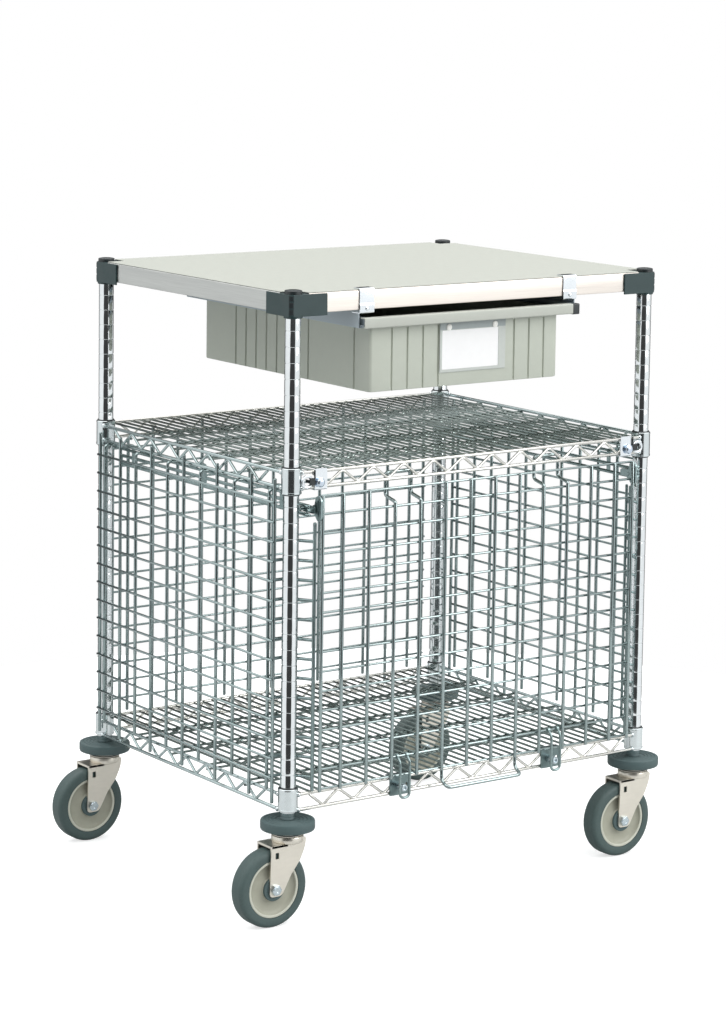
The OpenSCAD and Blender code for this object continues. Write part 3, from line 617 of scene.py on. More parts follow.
def zigzag(half, low, high, place):
    """Corner points of a zigzag wire, from valley to valley, put in space by place(along, z)."""
    count = round(2 * half / ZIGZAG_PITCH) * 2
    return [place(-half + i * ZIGZAG_PITCH / 2, high if i % 2 else low) for i in range(count + 1)]


def shelf(name, z, collar_low, collar_high, chrome):
    deck = Shape()
    half, deep = TX - EDGE_R, TY - 1.0
    count = int((PX - COLLAR_R - DECK_R - 1) // DECK_PITCH)
    for i in range(-count, count + 1):
        deck.tube([(i * DECK_PITCH, -deep, z), (i * DECK_PITCH, deep, z)], DECK_R, 10)
    top = z - DECK_R - CROSS_R + 0.5
    for y in CROSS_Y:
        for level in (top, z - CROSS_DROP):
            deck.tube([(-half, y, level), (half, y, level)], CROSS_R, 10)
        deck.wire(zigzag(ZIGZAG_HALF_X, z - CROSS_DROP, top, lambda x, h: (x, y, h)), CROSS_ZIGZAG_R, 5, 8)
    deck.build(f"{name}_deck_wires", chrome, replaces=f"{name}_deck")

    truss = Shape()
    for side in (-1, 1):
        for slot, half, reach, place in (
                (0, ZIGZAG_HALF_X, PX - COLLAR_REACH, lambda a, h: (a, side * TY, h)),
                (1, ZIGZAG_HALF_Y, PY - COLLAR_REACH, lambda a, h: (side * TX, a, h))):
            for level in (z, z - TRUSS_H):
                truss.tube([place(-reach, level), place(reach, level)], EDGE_R, 14, slot)
            valley = z - TRUSS_H + ZIGZAG_INSET
            truss.wire(zigzag(half, valley, z - ZIGZAG_INSET, place), ZIGZAG_R, 7, 12, slot)
            for end in (-1, 1):
                tail = [place(end * half, valley), place(end * (half + ZIGZAG_TAIL), z - 2)]
                truss.tube(tail, ZIGZAG_R, 12, slot)
    # Front and back truss wires take the lighter chrome, side truss wires the darker one: painted light and
    # shade
    truss.build(f"{name}_truss_wires", ["truss_chrome", "side_chrome"],
                replaces=f"{name}_trusses")

    collar = Shape()
    foot = [(COLLAR_R - cut, collar_low + up) for cut, up in COLLAR_FOOT]
    head = [(COLLAR_R - cut, collar_high - down) for cut, down in COLLAR_HEAD]
    collar.lathe([(COLLAR_BORE_R, collar_low)] + foot + head + [(COLLAR_BORE_R, collar_high)], steps=44)
    collar.copies(*at_corners())
    bead_x, bead_y = COLLAR_REACH - 1.5, PY - COLLAR_REACH + 1.5
    for side in (-1, 1):
        for level in (z, z - TRUSS_H):
            for x in (-PX, PX):
                out = copysign(1, x)
                collar.lathe(WELD_BEAD, (x - out * bead_x, side * TY, level), "X", 20)
                collar.lathe(WELD_BEAD, (x + out * (TX - PX), side * bead_y, level), "Y", 20)
    collar.build(f"{name}_collar_rings", "collar_chrome", replaces=f"{name}_collars")


def sleeves():
    ring = Shape()
    bore, r, edge = 12.9, 14.4, 14.0
    for low, high in ((MID_Z - 36, MID_Z + 9.5), (183.2, LOW_Z + 12.5)):
        ring.lathe([(bore, low), (edge, low), (r, low + 0.6), (r, high - 0.6), (edge, high), (bore, high)],
                   steps=40)
    ring.copies(*at_corners())
    ring.build("shelf_sleeve_rings", "black_plastic", replaces="shelf_sleeves")


def quick_release():
    front = -(TY + EDGE_R + 2.5)
    back = front + 2.4
    left, right = -PX + 34, -PX + 57.5
    low, high = MID_Z - 29.3, MID_Z + 5
    ring_x, ring_z = -PX + 20, MID_Z - 15
    button_x, button_z = PX - 42.5, MID_Z - 17
    plate = Shape()
    plate.prism(rounded(rect(left, low + 0.5, right, high), 2.5), front, back, "Y",
                holes=[circle(-button_x, button_z, 4.3)])
    plate.prism(rect(left, low, right, low + 1.4), front, front + 12, "Y")
    plate.lathe([(6.5, back), (6.5, front + 0.1), (7.3, front - 0.5), (10.2, front - 0.5),
                 (11, front + 0.3), (11, back)], (ring_x, 0, ring_z), "Y", 40)
    plate.block((ring_x + 8, front + 0.6, ring_z - 4), (left + 2, front + 2.2, ring_z + 4))
    plate.copies(same, left_right)
    plate.build("release_plates", "bright_steel", replaces="release_brackets", bevel=0.5)

    tab = Shape()
    tab.block((left - 11, front - 2.2, ring_z - 5.7), (left - 0.2, front - 0.3, ring_z + 5.9))
    for z in (-4, -1.2, 1.6, 4.4):
        tab.block((left - 10, front - 2.6, ring_z + z - 0.5), (left - 1.2, front - 2.0, ring_z + z + 0.5))
    tab.block((left - 2.2, front - 2.6, ring_z + 5), (left - 0.3, front - 0.3, ring_z + 18.3))
    tab.block((left - 10.8, front - 1, ring_z - 2.5), (left - 8.2, front + 11, ring_z + 2.5))
    tab.copies(same, left_right)
    tab.build("release_tab_blocks", "black_plastic", replaces="release_tabs", bevel=0.4)

    for name, x in (("left", -button_x), ("right", button_x)):
        button = Shape()
        outline = [(0, 0.7), (4, 0.7), (4, 3.7), (7.6, 3.7), (8, 3.9), (8, 4.2), (7.6, 4.4)]
        for i in range(8):
            outline.append((7.3 * cos(i * pi / 16), 4.5 + 3.4 * sin(i * pi / 16)))
        outline.append((0, 7.9))
        button.lathe([(r, front - out) for r, out in outline], (x, 0, button_z), "Y", 36)
        button.build(f"release_button_{name}_dome", "button_steel", f"button_{name}",
                     f"release_button_{name}")


# ---- wire panels, jambs and rails ----

def panel(name, uprights, half, place):
    """A welded panel; place(along, out, z) puts its points in space, rungs on the outer side."""
    shape = Shape()
    for i, along in enumerate(uprights):
        low, high = (FOOT_TALL, HEAD_TALL) if i % 2 == 0 else (FOOT_SHORT, HEAD_SHORT)
        shape.tube([place(along, 0, low), place(along, 0, high)], UPRIGHT_R)
    for z in RUNG_Z:
        shape.tube([place(-half, RUNG_STEP, z), place(half, RUNG_STEP, z)], RUNG_R, 10)
    shape.build(f"{name}_wires", "panel_chrome", replaces=name)


def panels():
    side = [-PY + 16.5] + [i * UPRIGHT_PITCH for i in range(-5, 6)] + [PY - 16.5]
    back = [-PX + 24] + [i * UPRIGHT_PITCH for i in range(-6, 7)] + [PX - 24]
    panel("side_panel_left", side, PY - 14, lambda a, out, z: (-SX - out, a, z))
    panel("side_panel_right", side, PY - 14, lambda a, out, z: (SX + out, a, z))
    panel("back_panel", back, PX - 15, lambda a, out, z: (a, SY + out, z))
    hooks = Shape()
    for y in side[1:-1:2]:
        end = -SX + HOOK_REACH_SIDE
        hooks.wire([(-SX, y, HEAD_SHORT - 3), (-SX, y, HOOK_Z), (end, y, HOOK_Z), (end + 4.5, y, HOOK_Z - 5)],
                   HOOK_R, 6)
    hooks.copies(same, left_right)
    for x in back[1:-1:2]:
        hooks.wire([(x, SY, HEAD_SHORT - 3), (x, SY, HOOK_Z), (x, SY - HOOK_REACH_BACK, HOOK_Z)], HOOK_R, 6)
    hooks.build("panel_hook_wires", "panel_chrome", replaces="panel_hooks")


def jambs():
    shape = Shape()
    x, y = JAMB_BACK
    shape.tube([(-JAMB_X, JAMB_Y, DOOR_FOOT), (-JAMB_X, JAMB_Y, JAMB_TOP)], JAMB_R, 14)
    shape.tube([(x, y, RUNG_Z[0] - 4), (x, y, JAMB_TOP - 6)], JAMB_BACK_R)
    for z in RUNG_Z:
        if z < JAMB_TOP - 10:
            shape.wire([(-JAMB_X, JAMB_Y, z), (x, y, z), (-SX - 1, y + 1, z)], JAMB_TIE_R, 3, 10)
    shape.copies(same, left_right)
    shape.build("door_jamb_rods", "zinc", replaces="door_jambs")


def rails():
    for name, sign in (("left", -1), ("right", 1)):
        rail = Shape()
        front, back = HINGE_Y - 6, PY - RAIL_INSET
        turn = [(sign * RAIL_X, back + RAIL_GAP / 2 * cos(a), HINGE_Z + RAIL_GAP / 2 * sin(a))
                for a in [pi * (0.5 - i / 10) for i in range(11)]]
        rail.tube([(sign * RAIL_X, front, HINGE_Z + RAIL_GAP / 2)] + turn
                  + [(sign * RAIL_X, front, HINGE_Z - RAIL_GAP / 2)], RAIL_R)
        rail.tube([(sign * HANG_X, -back, HANG_Z), (sign * HANG_X, back, HANG_Z)], HANG_R)
        under = MID_Z - TRUSS_H - EDGE_R - 0.2
        outer = RAIL_X + RAIL_R - 0.6
        for y in STRAP_Y:
            near, far = y - STRAP_HALF, y + STRAP_HALF
            strap = [(outer, HINGE_Z - RAIL_GAP / 2 - 2), (outer, under - 3), (TX - 1, under - 3)]
            rail.prism([(sign * u, v) for u, v in folded(strap, 3, 4)], near, far, "Y")
            rail.block((sign * HANG_X - 1.5, near, HANG_Z + 1), (sign * HANG_X + 1.5, far, under - 1))
        rail.build(f"guide_rail_{name}_wires", "zinc",
                   replaces=f"guide_rail_{name}", bevel=0.4, sharp=50)


# ---- door ----

def in_loop(x):
    return 2 * UPRIGHT_PITCH < abs(x) < 4 * UPRIGHT_PITCH


def door():
    grid = Shape()
    for i in range(12):
        x = (i - 5.5) * UPRIGHT_PITCH
        grid.tube([(x, DOOR_Y, DOOR_FOOT), (x, DOOR_Y, HINGE_Z if in_loop(x) else DOOR_TOP)], UPRIGHT_R)
    for x in (-DOOR_HALF, DOOR_HALF):
        grid.tube([(x, DOOR_Y, DOOR_FOOT), (x, DOOR_Y, DOOR_TOP)], UPRIGHT_R)
    for z in DOOR_RUNG_Z + [DOOR_HEAD]:
        grid.tube([(-DOOR_HALF - 2, DOOR_RUNG_Y, z), (DOOR_HALF + 2, DOOR_RUNG_Y, z)], RUNG_R, 10)
    grid.build("door_grid_wires", "door_chrome", "door", "door_grid")

    a, b = 2.5 * UPRIGHT_PITCH, 3.5 * UPRIGHT_PITCH
    loop = Shape()
    leg = [(DOOR_Y, HINGE_Z - 4), (DOOR_Y, HINGE_Z + 1), (LOOP_Y, HINGE_Z + 7), (LOOP_Y, LOOP_TOP)]
    loop.wire([(a, y, z) for y, z in leg] + [(b, y, z) for y, z in reversed(leg)], UPRIGHT_R, 7)
    loop.copies(same, left_right)
    loop.build("door_loop_wires", "door_chrome", "door", "door_loops")

    handle = Shape()
    leg = [(DOOR_Y, DOOR_FOOT + 3), (DOOR_Y, HANDLE_Z + 9), (HANDLE_Y, HANDLE_Z)]
    handle.wire([(-HANDLE_X, y, z) for y, z in leg] + [(HANDLE_X, y, z) for y, z in reversed(leg)],
                UPRIGHT_R, 8)
    handle.build("door_handle_wire", "door_chrome", "door", "door_handle")

    lug = Shape()
    middle = DOOR_Y + 4.5
    outline = arc(middle, HINGE_Z + 14.5, 8.5, 0, 180, 12) + arc(middle, HINGE_Z - 8.5, 8.5, 180, 290, 8)
    outline += arc(HINGE_Y, HINGE_Z, 7.5, -90, 90, 10)
    slot = rounded(rect(middle - 3, HINGE_Z - 11, middle + 1, HINGE_Z + 17), 1.9)
    lug.prism(outline, -LUG_X - LUG_T, -LUG_X, "X", holes=[circle(HINGE_Y, HINGE_Z, 3.1, 24), slot])
    lug.copies(same, left_right)
    lug.build("door_lug_plates", "zinc", "door", "door_lugs", bevel=0.5)

    carrier = Shape()
    plate_x = LUG_X + LUG_T + 2
    plate = rounded(rect(HINGE_Y - 7, HINGE_Z - 6, HINGE_Y + 27, HINGE_Z + 6), 5)
    carrier.prism(plate, -plate_x - 3, -plate_x, "X")
    pin = [(0, -plate_x - 1), (3, -plate_x - 1), (3, -LUG_X + 0.4), (2.4, -LUG_X + 1), (0, -LUG_X + 1)]
    carrier.lathe(pin, (0, HINGE_Y, HINGE_Z), "X", 24)
    for y in (HINGE_Y, HINGE_Y + 20):
        end = -RAIL_X - RAIL_R + 1
        carrier.lathe([(0, end), (3.2, end), (3.7, end + 0.5), (3.7, -plate_x - 2.5), (0, -plate_x - 2.5)],
                      (0, y, HINGE_Z), "X", 24)
    carrier.copies(same, left_right)
    carrier.build("door_carrier_plates", "zinc", "carrier", "door_carriers", bevel=0.3)


def latches():
    for name, x in LATCH_XS.items():
        bail = Shape()
        h, top = BAIL_HALF, BAIL_PIVOT_Z
        for s in (-1, 1):
            eye = [(4.5, s * h - 2.4), (4.5, s * h + 2.4), (2.08, s * h + 2.4), (2.08, s * h - 2.4)]
            bail.lathe(eye, (0, DOOR_RUNG_Y, top), "X", 28)
        leg = [(DOOR_RUNG_Y - 3.4, top - 1), (BAIL_Y, top - 9), (BAIL_Y, BAIL_FOOT)]
        bail.wire([(-h, y, z) for y, z in leg] + [(h, y, z) for y, z in reversed(leg)], BAIL_R, 9.4, 12)
        bail.copies(moved(x))
        bail.build(f"latch_bail_{name}_wire", "zinc", f"bail_{name}", f"latch_bail_{name}",
                   bevel=0.4, sharp=50)

    at_latches = [moved(x) for x in LATCH_XS.values()]
    bracket = Shape()
    left, right, low, high = -16, 26, BAIL_FOOT, LOW_Z + 5
    bracket.prism(rounded(rect(left, low, right, high - 1), 2), BRACKET_Y, BRACKET_Y + BRACKET_T, "Y",
                  holes=[circle(0, STUD_Z, 3.6, 24), circle(17, STUD_Z, 3, 24)])
    bracket.prism(rect(left, high - 2, right, high), BRACKET_Y, BRACKET_Y + 14, "Y")
    bracket.copies(*at_latches)
    bracket.build("latch_bracket_plates", "bracket_zinc", replaces="latch_brackets", bevel=0.5)

    stud = Shape()
    tip = BRACKET_Y - 19
    tail = BRACKET_Y + BRACKET_T
    stud.lathe([(0, tail), (3.4, tail), (3.4, BRACKET_Y - 0.2), (6, BRACKET_Y - 0.2), (6, tip + 1.2),
                (5.2, tip), (3.2, tip), (3.0, tip + 2.4), (0, tip + 2.4)], (0, 0, STUD_Z), "Y", 32)
    stud.copies(*at_latches)
    stud.build("latch_stud_pins", "bolt_zinc", replaces="latch_studs", bevel=0.2)


# ---- drawer ----

FRONT_RIBS = [k * RIB_PITCH for k in range(-5, 6)]
SIDE_RIBS = [43] + [173 + k * RIB_PITCH for k in range(8)]
LABEL_X = 7.0


def tote_loop(z, inset, groove, lip=False):
    """Outline of the tote at a height: rounded corners and an upright groove at each rib line."""
    middle, half = (DRAWER_X, SLIDE_HALF + TOTE_LIP) if lip else (TOTE_X, TOTE_W / 2)
    x0, x1 = middle - half + inset, middle + half - inset
    y0, y1 = TOTE_FRONT + inset, TOTE_FRONT + TOTE_L - inset
    r = TOTE_CORNER_R
    wide, narrow = 2.2, 1.3
    notch = [(-wide, 0), (-narrow, groove), (narrow, groove), (wide, 0)]
    loop = []
    for x in FRONT_RIBS:
        flat = -2 * RIB_PITCH + 1 < x < 3 * RIB_PITCH - 1
        loop += [(DRAWER_X + x + u, y0 + (0 if flat else v)) for u, v in notch]
    loop += arc(x1 - r, y0 + r, r, -90, 0, 6)
    for y in SIDE_RIBS:
        loop += [(x1 - v, TOTE_FRONT + y + u) for u, v in notch]
    loop += arc(x1 - r, y1 - r, r, 0, 90, 6)
    for x in reversed(FRONT_RIBS):
        loop += [(DRAWER_X + x - u, y1 - v) for u, v in notch]
    loop += arc(x0 + r, y1 - r, r, 90, 180, 6)
    for y in reversed(SIDE_RIBS):
        loop += [(x0 + v, TOTE_FRONT + y - u) for u, v in notch]
    loop += arc(x0 + r, y0 + r, r, 180, 270, 6)
    return [(x, y, z) for x, y in loop]


def drawer():
    tote = Shape()
    wall = TOTE_WALL
    tote.loft([
        tote_loop(TOTE_FOOT + wall, wall + 3, 0), tote_loop(TOTE_FOOT + wall + 3, wall, 0),
        tote_loop(TOTE_TOP - 0.6, wall, 0), tote_loop(TOTE_TOP, wall - 0.6, 0),
        tote_loop(TOTE_TOP, 0.6, 0), tote_loop(TOTE_TOP - 0.6, 0, 0),
        tote_loop(CHANNEL_Z + 5.2, 0, 0), tote_loop(CHANNEL_Z + 5.1, 0, 0, True),
        tote_loop(CHANNEL_Z + 2.3, 0, 0, True), tote_loop(CHANNEL_Z + 2.2, 0, 0),
        tote_loop(TOTE_TOP - 14, 0, 0), tote_loop(TOTE_TOP - 16, 0, RIB_GROOVE),
        tote_loop(TOTE_FOOT + 2, 0, RIB_GROOVE), tote_loop(TOTE_FOOT + 0.6, 0.6, 1.4),
        tote_loop(TOTE_FOOT, 2, 0)])
    tote.build("drawer_tote_box", "tote_plastic", "drawer", "drawer_tote", sharp=30)

    rail = Shape()
    low, high = 951.0, 968.0
    front, left, right = TOTE_FRONT - 16, DRAWER_X - 219, DRAWER_X + 205
    path = [(front + 13, high), (front, high), (front, low), (front + 5, low)]
    rail.prism(folded(path, 1.6, 2.2), left, right, "X")
    rail.build("drawer_front_rail_fold", "beige_metal", "drawer", "drawer_front_rail",
               bevel=0.35)

    cap = Shape()
    end = rounded(rect(front, low - 1, front + 13, high), 2)
    cap.prism(end, right + 0.2, right + 13.7, "X")
    cap.build("drawer_end_cap_block", "black_plastic", "drawer", "drawer_end_cap", bevel=0.8)

    channel = Shape()
    y0, y1 = TOTE_FRONT - 2.9, TOTE_FRONT - 2.9 + SLIDE_L
    inner = SLIDE_HALF + 1
    web = inner + 8
    flange, head = CHANNEL_Z + 2, CHANNEL_Z + 15
    channel.prism([(inner, CHANNEL_Z), (inner + 16, CHANNEL_Z), (inner + 16, flange), (web + 1.6, flange),
                   (web + 1.6, head), (web, head), (web, flange), (inner, flange)], y0, y1, "Y")
    channel.copies(same, left_right).copies(moved(DRAWER_X))
    channel.build("drawer_channel_strips", "grey_metal", "drawer", "drawer_channels", bevel=0.4)

    runner = Shape()
    out, foot, top = SLIDE_HALF + 19, CHANNEL_Z - 2.6, WORK_Z - RIM_H - 0.2
    path = [(out - 10, foot), (out + 1.5, foot), (out + 1.5, top), (out - 20, top)]
    runner.prism(folded(path, 1.5, 2.0), TOTE_FRONT, TOTE_FRONT + SLIDE_L + 4, "Y")
    runner.copies(same, left_right).copies(moved(DRAWER_X))
    runner.build("drawer_runner_strips", "grey_metal", replaces="drawer_runners", bevel=0.3)

    clip = Shape()
    face = -(PY + RIM_OFF) - 0.3
    over, foot = WORK_Z + 0.3, top - 4
    strap = [(face + 16, over), (face, over), (face, foot + 14), (face - 0.9, foot + 12.5),
             (face - 0.9, foot), (face + 20, foot)]
    clip.prism(folded([(y, z) for y, z in reversed(strap)], 1.6, 1.2), -14, 14, "X")
    clip.lathe([(0, face - 4.2), (2.2, face - 4.2), (3.4, face - 3.4), (3.6, face - 2), (0, face - 2)],
               (0, 0, foot + 6), "Y", 24)
    clip.copies(moved(DRAWER_X - SLIDE_HALF - 7), moved(DRAWER_X + SLIDE_HALF + 7))
    clip.build("drawer_clip_straps", "bright_steel", replaces="drawer_clips", bevel=0.3)


def label():
    on_face = moved(DRAWER_X + LABEL_X, TOTE_FRONT, TOTE_TOP)
    width, height = 134.0, 84.0
    card_w, card_h = 119.0, 66.0
    half, top, foot = width / 2, -10.0, -10.0 - height
    card_x = -card_w / 2 - 5
    card_z = foot + 4

    pocket = Shape()
    window = rounded(rect(card_x + 2, card_z + 1.5, card_x + card_w - 2, card_z + card_h - 1), 2, 3)
    band = card_z + card_h
    outline = rounded(rect(-half, foot, half, top), 4)
    pocket.prism(rect(-half, foot + 1, half, band), -2.0, -1.5, "Y", holes=[window])
    pocket.prism(rect(-half, band, half, top - 1), -2.0, -1.5, "Y", slot=1)
    pocket.prism(outline, -0.6, -0.2, "Y")
    pocket.prism(rect(card_x - 3, foot + 0.4, half - 0.4, card_z), -1.6, -0.5, "Y")
    pocket.copies(on_face)
    pocket.build("label_pocket_sleeve", ["vinyl", "vinyl_band"], "drawer", "label_pocket",
                 bevel=0.15)

    card = Shape()
    card.prism(rect(card_x, card_z, card_x + card_w, card_z + card_h), -1.45, -0.65, "Y")
    card.copies(on_face)
    card.build("label_card_sheet", "card", "drawer", "label_card")

    rivets = Shape()
    outline = [(0, -3.7), (3.0, -3.6), (4.9, -3.0), (5.5, -2.4), (5.3, -2.0), (1.9, -2.0), (1.9, -0.3),
               (0, -0.3)]
    for x in (-49, 45):
        rivets.lathe(outline, (x, 0, -20), "Y", 32)
    rivets.copies(on_face)
    rivets.build("label_rivet_heads", "white_plastic", "drawer", "label_rivets")


# ---- casters ----

def caster_tops():
    bumper = Shape()
    foot, top = BUMPER_Z
    ridges = []
    for r in (36.5, 30.5, 24.5, 18.5):
        ridges += [(r + 1.6, top), (r + 0.9, top - 0.8), (r - 0.9, top - 0.8), (r - 1.6, top)]
    edge = [(41, 0), (43.2, 0.9), (44, 2.8)]
    side = [(r, foot + h) for r, h in edge] + [(r, top - h) for r, h in reversed(edge)]
    bumper.lathe([(11.4, foot)] + side + ridges + [(11.4, top)], steps=56)
    bumper.copies(*at_corners())
    bumper.build("bumper_rings", "bumper_rubber", replaces="bumpers")

    stem = Shape()
    kingpin = [(0, 128), (9, 128), (10, 129), (10, 133), (6, 133), (6, RACE_Z + 0.1)]
    race = [(24.8, RACE_Z + 0.1), (24.8, 146.4), (23.6, 146.6), (23.6, 148.6), (26, 148.8), (26.6, 149.6),
            (26.4, 151.2), (25, 151.8), (25, foot - 0.2)]
    stem.lathe(kingpin + race + [(STEM_R, foot - 0.2), (STEM_R, STEM_TOP), (0, STEM_TOP)], steps=44)
    stem.copies(*at_corners())
    stem.build("caster_stem_turnings", "nickel", replaces="caster_stems")

    seal = Shape()
    seal.lathe([(23.7, 146.6), (25.4, 146.6), (25.9, 147.1), (25.9, 148.1), (25.4, 148.6), (23.7, 148.6)],
               steps=44)
    seal.copies(*at_corners())
    seal.build("caster_seals", "black_plastic")


def leg_outline():
    """A fork leg from the side: upright at the back, sloping at the front."""
    corners = [(-44, 135), (-46.2, 52.3), (-23, 52.3), (-6, 84), (10, 104), (19.5, 124), (23, 143),
               (-12, 143), (-16, 135)]
    return [(p.x, p.y) for p in bent([Vector((u, v, 0)) for u, v in corners], 7, 6)]


def caster(name, x, y):
    centre = (-TRAIL, 0, WHEEL_Z)
    reach = FORK_HALF + FORK_T

    fork = Shape()
    slot = rect(-36, 113.5, -29.5, 123.5)
    for low in (-reach, FORK_HALF):
        fork.prism(leg_outline(), low, low + FORK_T, "Y", holes=[rounded(slot, 1.0, 3)])
    fork.lathe([(10.6, 133.5), (24, 133.5), (25.6, 134.6), (26, 136), (26, 142.6), (25.2, 144.3),
                (23.6, 145), (6.1, 145), (6.1, 137.6), (10.6, 137.6)], steps=44)
    fork.prism(rounded(rect(-44, -reach, -11, reach), 1.5), 131.2, 134.9)
    fork.copies(moved(x, y))
    fork.build(f"fork_{name}_stamping", "nickel", f"caster_{name}", f"fork_{name}",
               bevel=0.7, sharp=40)

    axle = Shape()
    axle.lathe(rect(0, -reach - 3.9, AXLE_R, reach + 3.9), centre, "Y", 32)
    face = [(0, 4.2), (7.4, 4.2), (6.6, 5.2), (3.4, 5.4), (3, 4.6), (0, 4.6)]
    for s in (-1, 1):
        low = s * (reach + 0.2)
        axle.prism(circle(-TRAIL, WHEEL_Z, 9, 6), min(low, low + s * 4.4), max(low, low + s * 4.4), "Y")
        axle.lathe([(r, low + s * h) for r, h in face], centre, "Y", 32)
    axle.copies(moved(x, y))
    axle.build(f"axle_{name}_bolt", "bolt_zinc", f"caster_{name}", f"axle_{name}", bevel=0.5)

    hub = Shape()
    half = WHEEL_HALF
    dish = [(19.5, 3.4), (21, 5.6), (27, 7.2), (36, 7.4), (40.6, 5.4), (42.6, 2.2)]
    outline = [(AXLE_BORE_R, 3 - half)] + [(r, h - half) for r, h in dish]
    outline += [(r, half - h) for r, h in reversed(dish)] + [(AXLE_BORE_R, half - 3)]
    hub.lathe(outline, centre, "Y", 56)
    ring = [(42.2, half - 5), (42.4, half - 2), (43.4, half - 1), (46.2, half - 1), (HUB_R, half - 2),
            (HUB_R, 0), (42.2, 0)]
    boss = [(AXLE_BORE_R, half - 6), (19.2, half - 6), (19.2, half + 0.1), (18.4, half + 0.8),
            (13.6, half + 0.8), (13, half + 0.1), (12.4, half + 0.8), (AXLE_BORE_R, half + 0.8)]
    for s in (-1, 1):
        hub.lathe([(r, s * h) for r, h in ring], centre, "Y", 56, 1)
        hub.lathe([(r, s * h) for r, h in boss], centre, "Y", 48, 2)
    hub.copies(moved(x, y))
    hub.build(f"hub_{name}_disc", ["hub_plastic", "hub_rim", "bumper_rubber"],
              f"wheel_{name}", f"hub_{name}")

    tyre = Shape()
    shoulder = 7.5
    crown = arc(WHEEL_Z - shoulder, half - shoulder, shoulder, 90, 0, 8)
    crown += arc(WHEEL_Z - shoulder, shoulder - half, shoulder, 0, -90, 8)
    tyre.lathe([(HUB_R + 0.2, half - 0.6), (50, half)] + crown + [(50, -half), (HUB_R + 0.2, 0.6 - half)],
               centre, "Y", 72)
    tyre.copies(moved(x, y))
    tyre.build(f"tyre_{name}_tread", "tread", f"wheel_{name}", f"tyre_{name}")


# ---- studio ----

YAW, PITCH, ROLL = radians(35.45), radians(-6.57), radians(-0.777)
CAMERA_PLACE = Vector((-3.0021 + MIDDLE_X / TO_MM, -4.1849, 1.5338))
FOCAL_PER_SIDE = 3033 / 1024
SHIFT_DOWN = 0.2
SENSOR = 36
ROUND_STOPS = ((0.0, 0.10), (0.17, 0.10), (0.21, 0.85), (0.5, 1.0), (0.885, 1.0), (0.915, 0.05), (1.0, 0.05))
OVERHEAD_FROM, OVERHEAD_TO = 0.40, 0.70
OVERHEAD_LEVEL = 2.1
FLOOR_R = 1.5
FLOOR_STEPS = 96
FLOOR_GLOW = 0.66


def camera():
    forward = Vector((sin(YAW) * cos(PITCH), cos(YAW) * cos(PITCH), sin(PITCH)))
    level = Vector((cos(YAW), -sin(YAW), 0))
    right = level * cos(ROLL) + forward.cross(level) * sin(ROLL)
    up = right.cross(forward)
    data = bpy.data.cameras.new("camera")
    data.sensor_width = SENSOR
    data.lens = FOCAL_PER_SIDE * data.sensor_width
    data.shift_y = -SHIFT_DOWN
    data.clip_end = 400
    eye = in_scene("camera", data)
    eye.matrix_world = Matrix.Translation(CAMERA_PLACE) @ Matrix((right, up, -forward)).transposed().to_4x4()
    bpy.context.scene.camera = eye


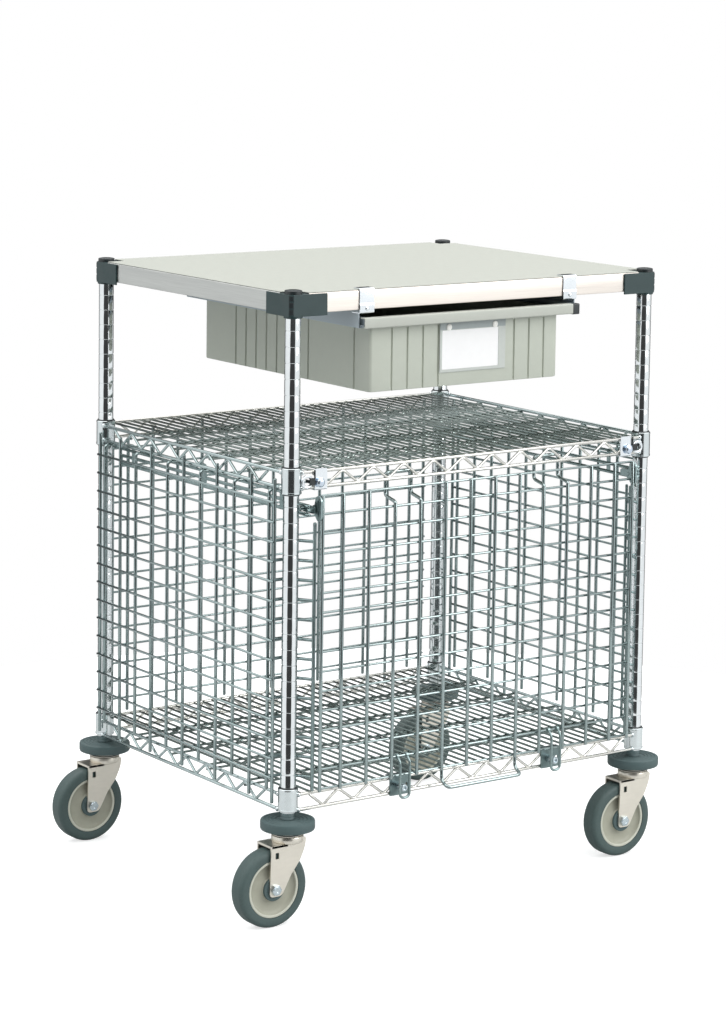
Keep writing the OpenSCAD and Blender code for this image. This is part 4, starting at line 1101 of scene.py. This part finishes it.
def surroundings():
    """A pale studio: bright to both sides, dark behind the front, grey at the far end."""
    world = bpy.data.worlds.new("studio")
    bpy.context.scene.world = world
    world.use_nodes = True
    tree = world.node_tree
    link = tree.links.new
    back = tree.nodes["Background"]
    place = add_node(tree, "TexCoord")
    toward = add_node(tree, "VectorMath")
    toward.operation = "DOT_PRODUCT"
    toward.inputs[1].default_value = (-sin(YAW), -cos(YAW), 0)
    link(place.outputs["Generated"], toward.inputs[0])
    shift = add_node(tree, "MapRange", From_Min=-1)
    link(toward.outputs["Value"], shift.inputs["Value"])
    ramp = add_node(tree, "ValToRGB")
    points = ramp.color_ramp.elements
    while len(points) < len(ROUND_STOPS):
        points.new(0.5)
    for point, (position, level) in zip(points, ROUND_STOPS):
        point.position = position
        point.color = (level * 0.97, level * 0.99, level, 1)
    link(shift.outputs["Result"], ramp.inputs["Fac"])
    split = add_node(tree, "SeparateXYZ")
    link(place.outputs["Generated"], split.inputs[0])
    overhead = add_node(tree, "MapRange", From_Min=OVERHEAD_FROM, From_Max=OVERHEAD_TO)
    link(split.outputs["Z"], overhead.inputs["Value"])
    mixed = tree.nodes.new("ShaderNodeMix")
    mixed.data_type = "RGBA"
    mixed.inputs["B"].default_value = (OVERHEAD_LEVEL, OVERHEAD_LEVEL, OVERHEAD_LEVEL, 1)
    link(overhead.outputs["Result"], mixed.inputs["Factor"])
    link(ramp.outputs["Color"], mixed.inputs["A"])
    link(mixed.outputs["Result"], back.inputs["Color"])
    back.inputs["Strength"].default_value = 1.0
    seen = add_node(tree, "Background", Color=(1, 1, 1, 1), Strength=1.0)
    path = add_node(tree, "LightPath")
    choose = add_node(tree, "MixShader")
    link(path.outputs["Is Camera Ray"], choose.inputs["Fac"])
    link(back.outputs["Background"], choose.inputs[1])
    link(seen.outputs["Background"], choose.inputs[2])
    link(choose.outputs["Shader"], tree.nodes["World Output"].inputs["Surface"])


def softbox(name, place, aim, size, power):
    data = bpy.data.lights.new(name, "AREA")
    data.shape = "RECTANGLE"
    data.size, data.size_y = size
    data.energy = power
    lamp = in_scene(name, data)
    lamp.location = place
    lamp.rotation_mode = "QUATERNION"
    lamp.rotation_quaternion = (Vector(aim) - Vector(place)).to_track_quat("-Z", "Y")


def floor():
    """A round pale sheet under the cart, which the camera sees as white as the background."""
    mesh = bpy.data.meshes.new("floor")
    rim = circle(MIDDLE_X / TO_MM, 0, FLOOR_R, FLOOR_STEPS)
    mesh.from_pydata([(x, y, 0) for x, y in rim], [], [list(range(FLOOR_STEPS))])
    paint = MATERIALS["floor_paint"]
    tree = paint.node_tree
    nodes, links = tree.nodes, tree.links
    glow = add_node(tree, "Emission", Strength=FLOOR_GLOW)
    both = add_node(tree, "AddShader")
    choose = add_node(tree, "MixShader")
    path = add_node(tree, "LightPath")
    links.new(nodes["Principled BSDF"].outputs[0], both.inputs[0])
    links.new(glow.outputs[0], both.inputs[1])
    links.new(path.outputs["Is Camera Ray"], choose.inputs["Fac"])
    links.new(nodes["Principled BSDF"].outputs[0], choose.inputs[1])
    links.new(both.outputs[0], choose.inputs[2])
    links.new(choose.outputs[0], nodes["Material Output"].inputs["Surface"])
    mesh.materials.append(paint)
    plane = in_scene("floor", mesh)


def studio():
    camera()
    surroundings()
    softbox("key_light", place=(2.2, -3.6, 2.2), aim=(0, 0, 0.6), size=(2.0, 2.0), power=60)
    floor()
    bpy.context.scene.view_settings.view_transform = "Standard"


studio()
posts()
post_caps()
worksurface()
shelf("middle_shelf", MID_Z, MID_Z - 34, MID_Z + 7.5, "deck_chrome")
# The bottom deck takes the darker copy of the deck chrome: painted shade
shelf("bottom_shelf", LOW_Z, 183.0, LOW_Z + 10.5, "low_deck_chrome")
sleeves()
quick_release()
panels()
jambs()
rails()
door()
latches()
drawer()
label()
caster_tops()
for corner, (corner_x, corner_y) in CORNERS.items():
    caster(corner, corner_x, corner_y)
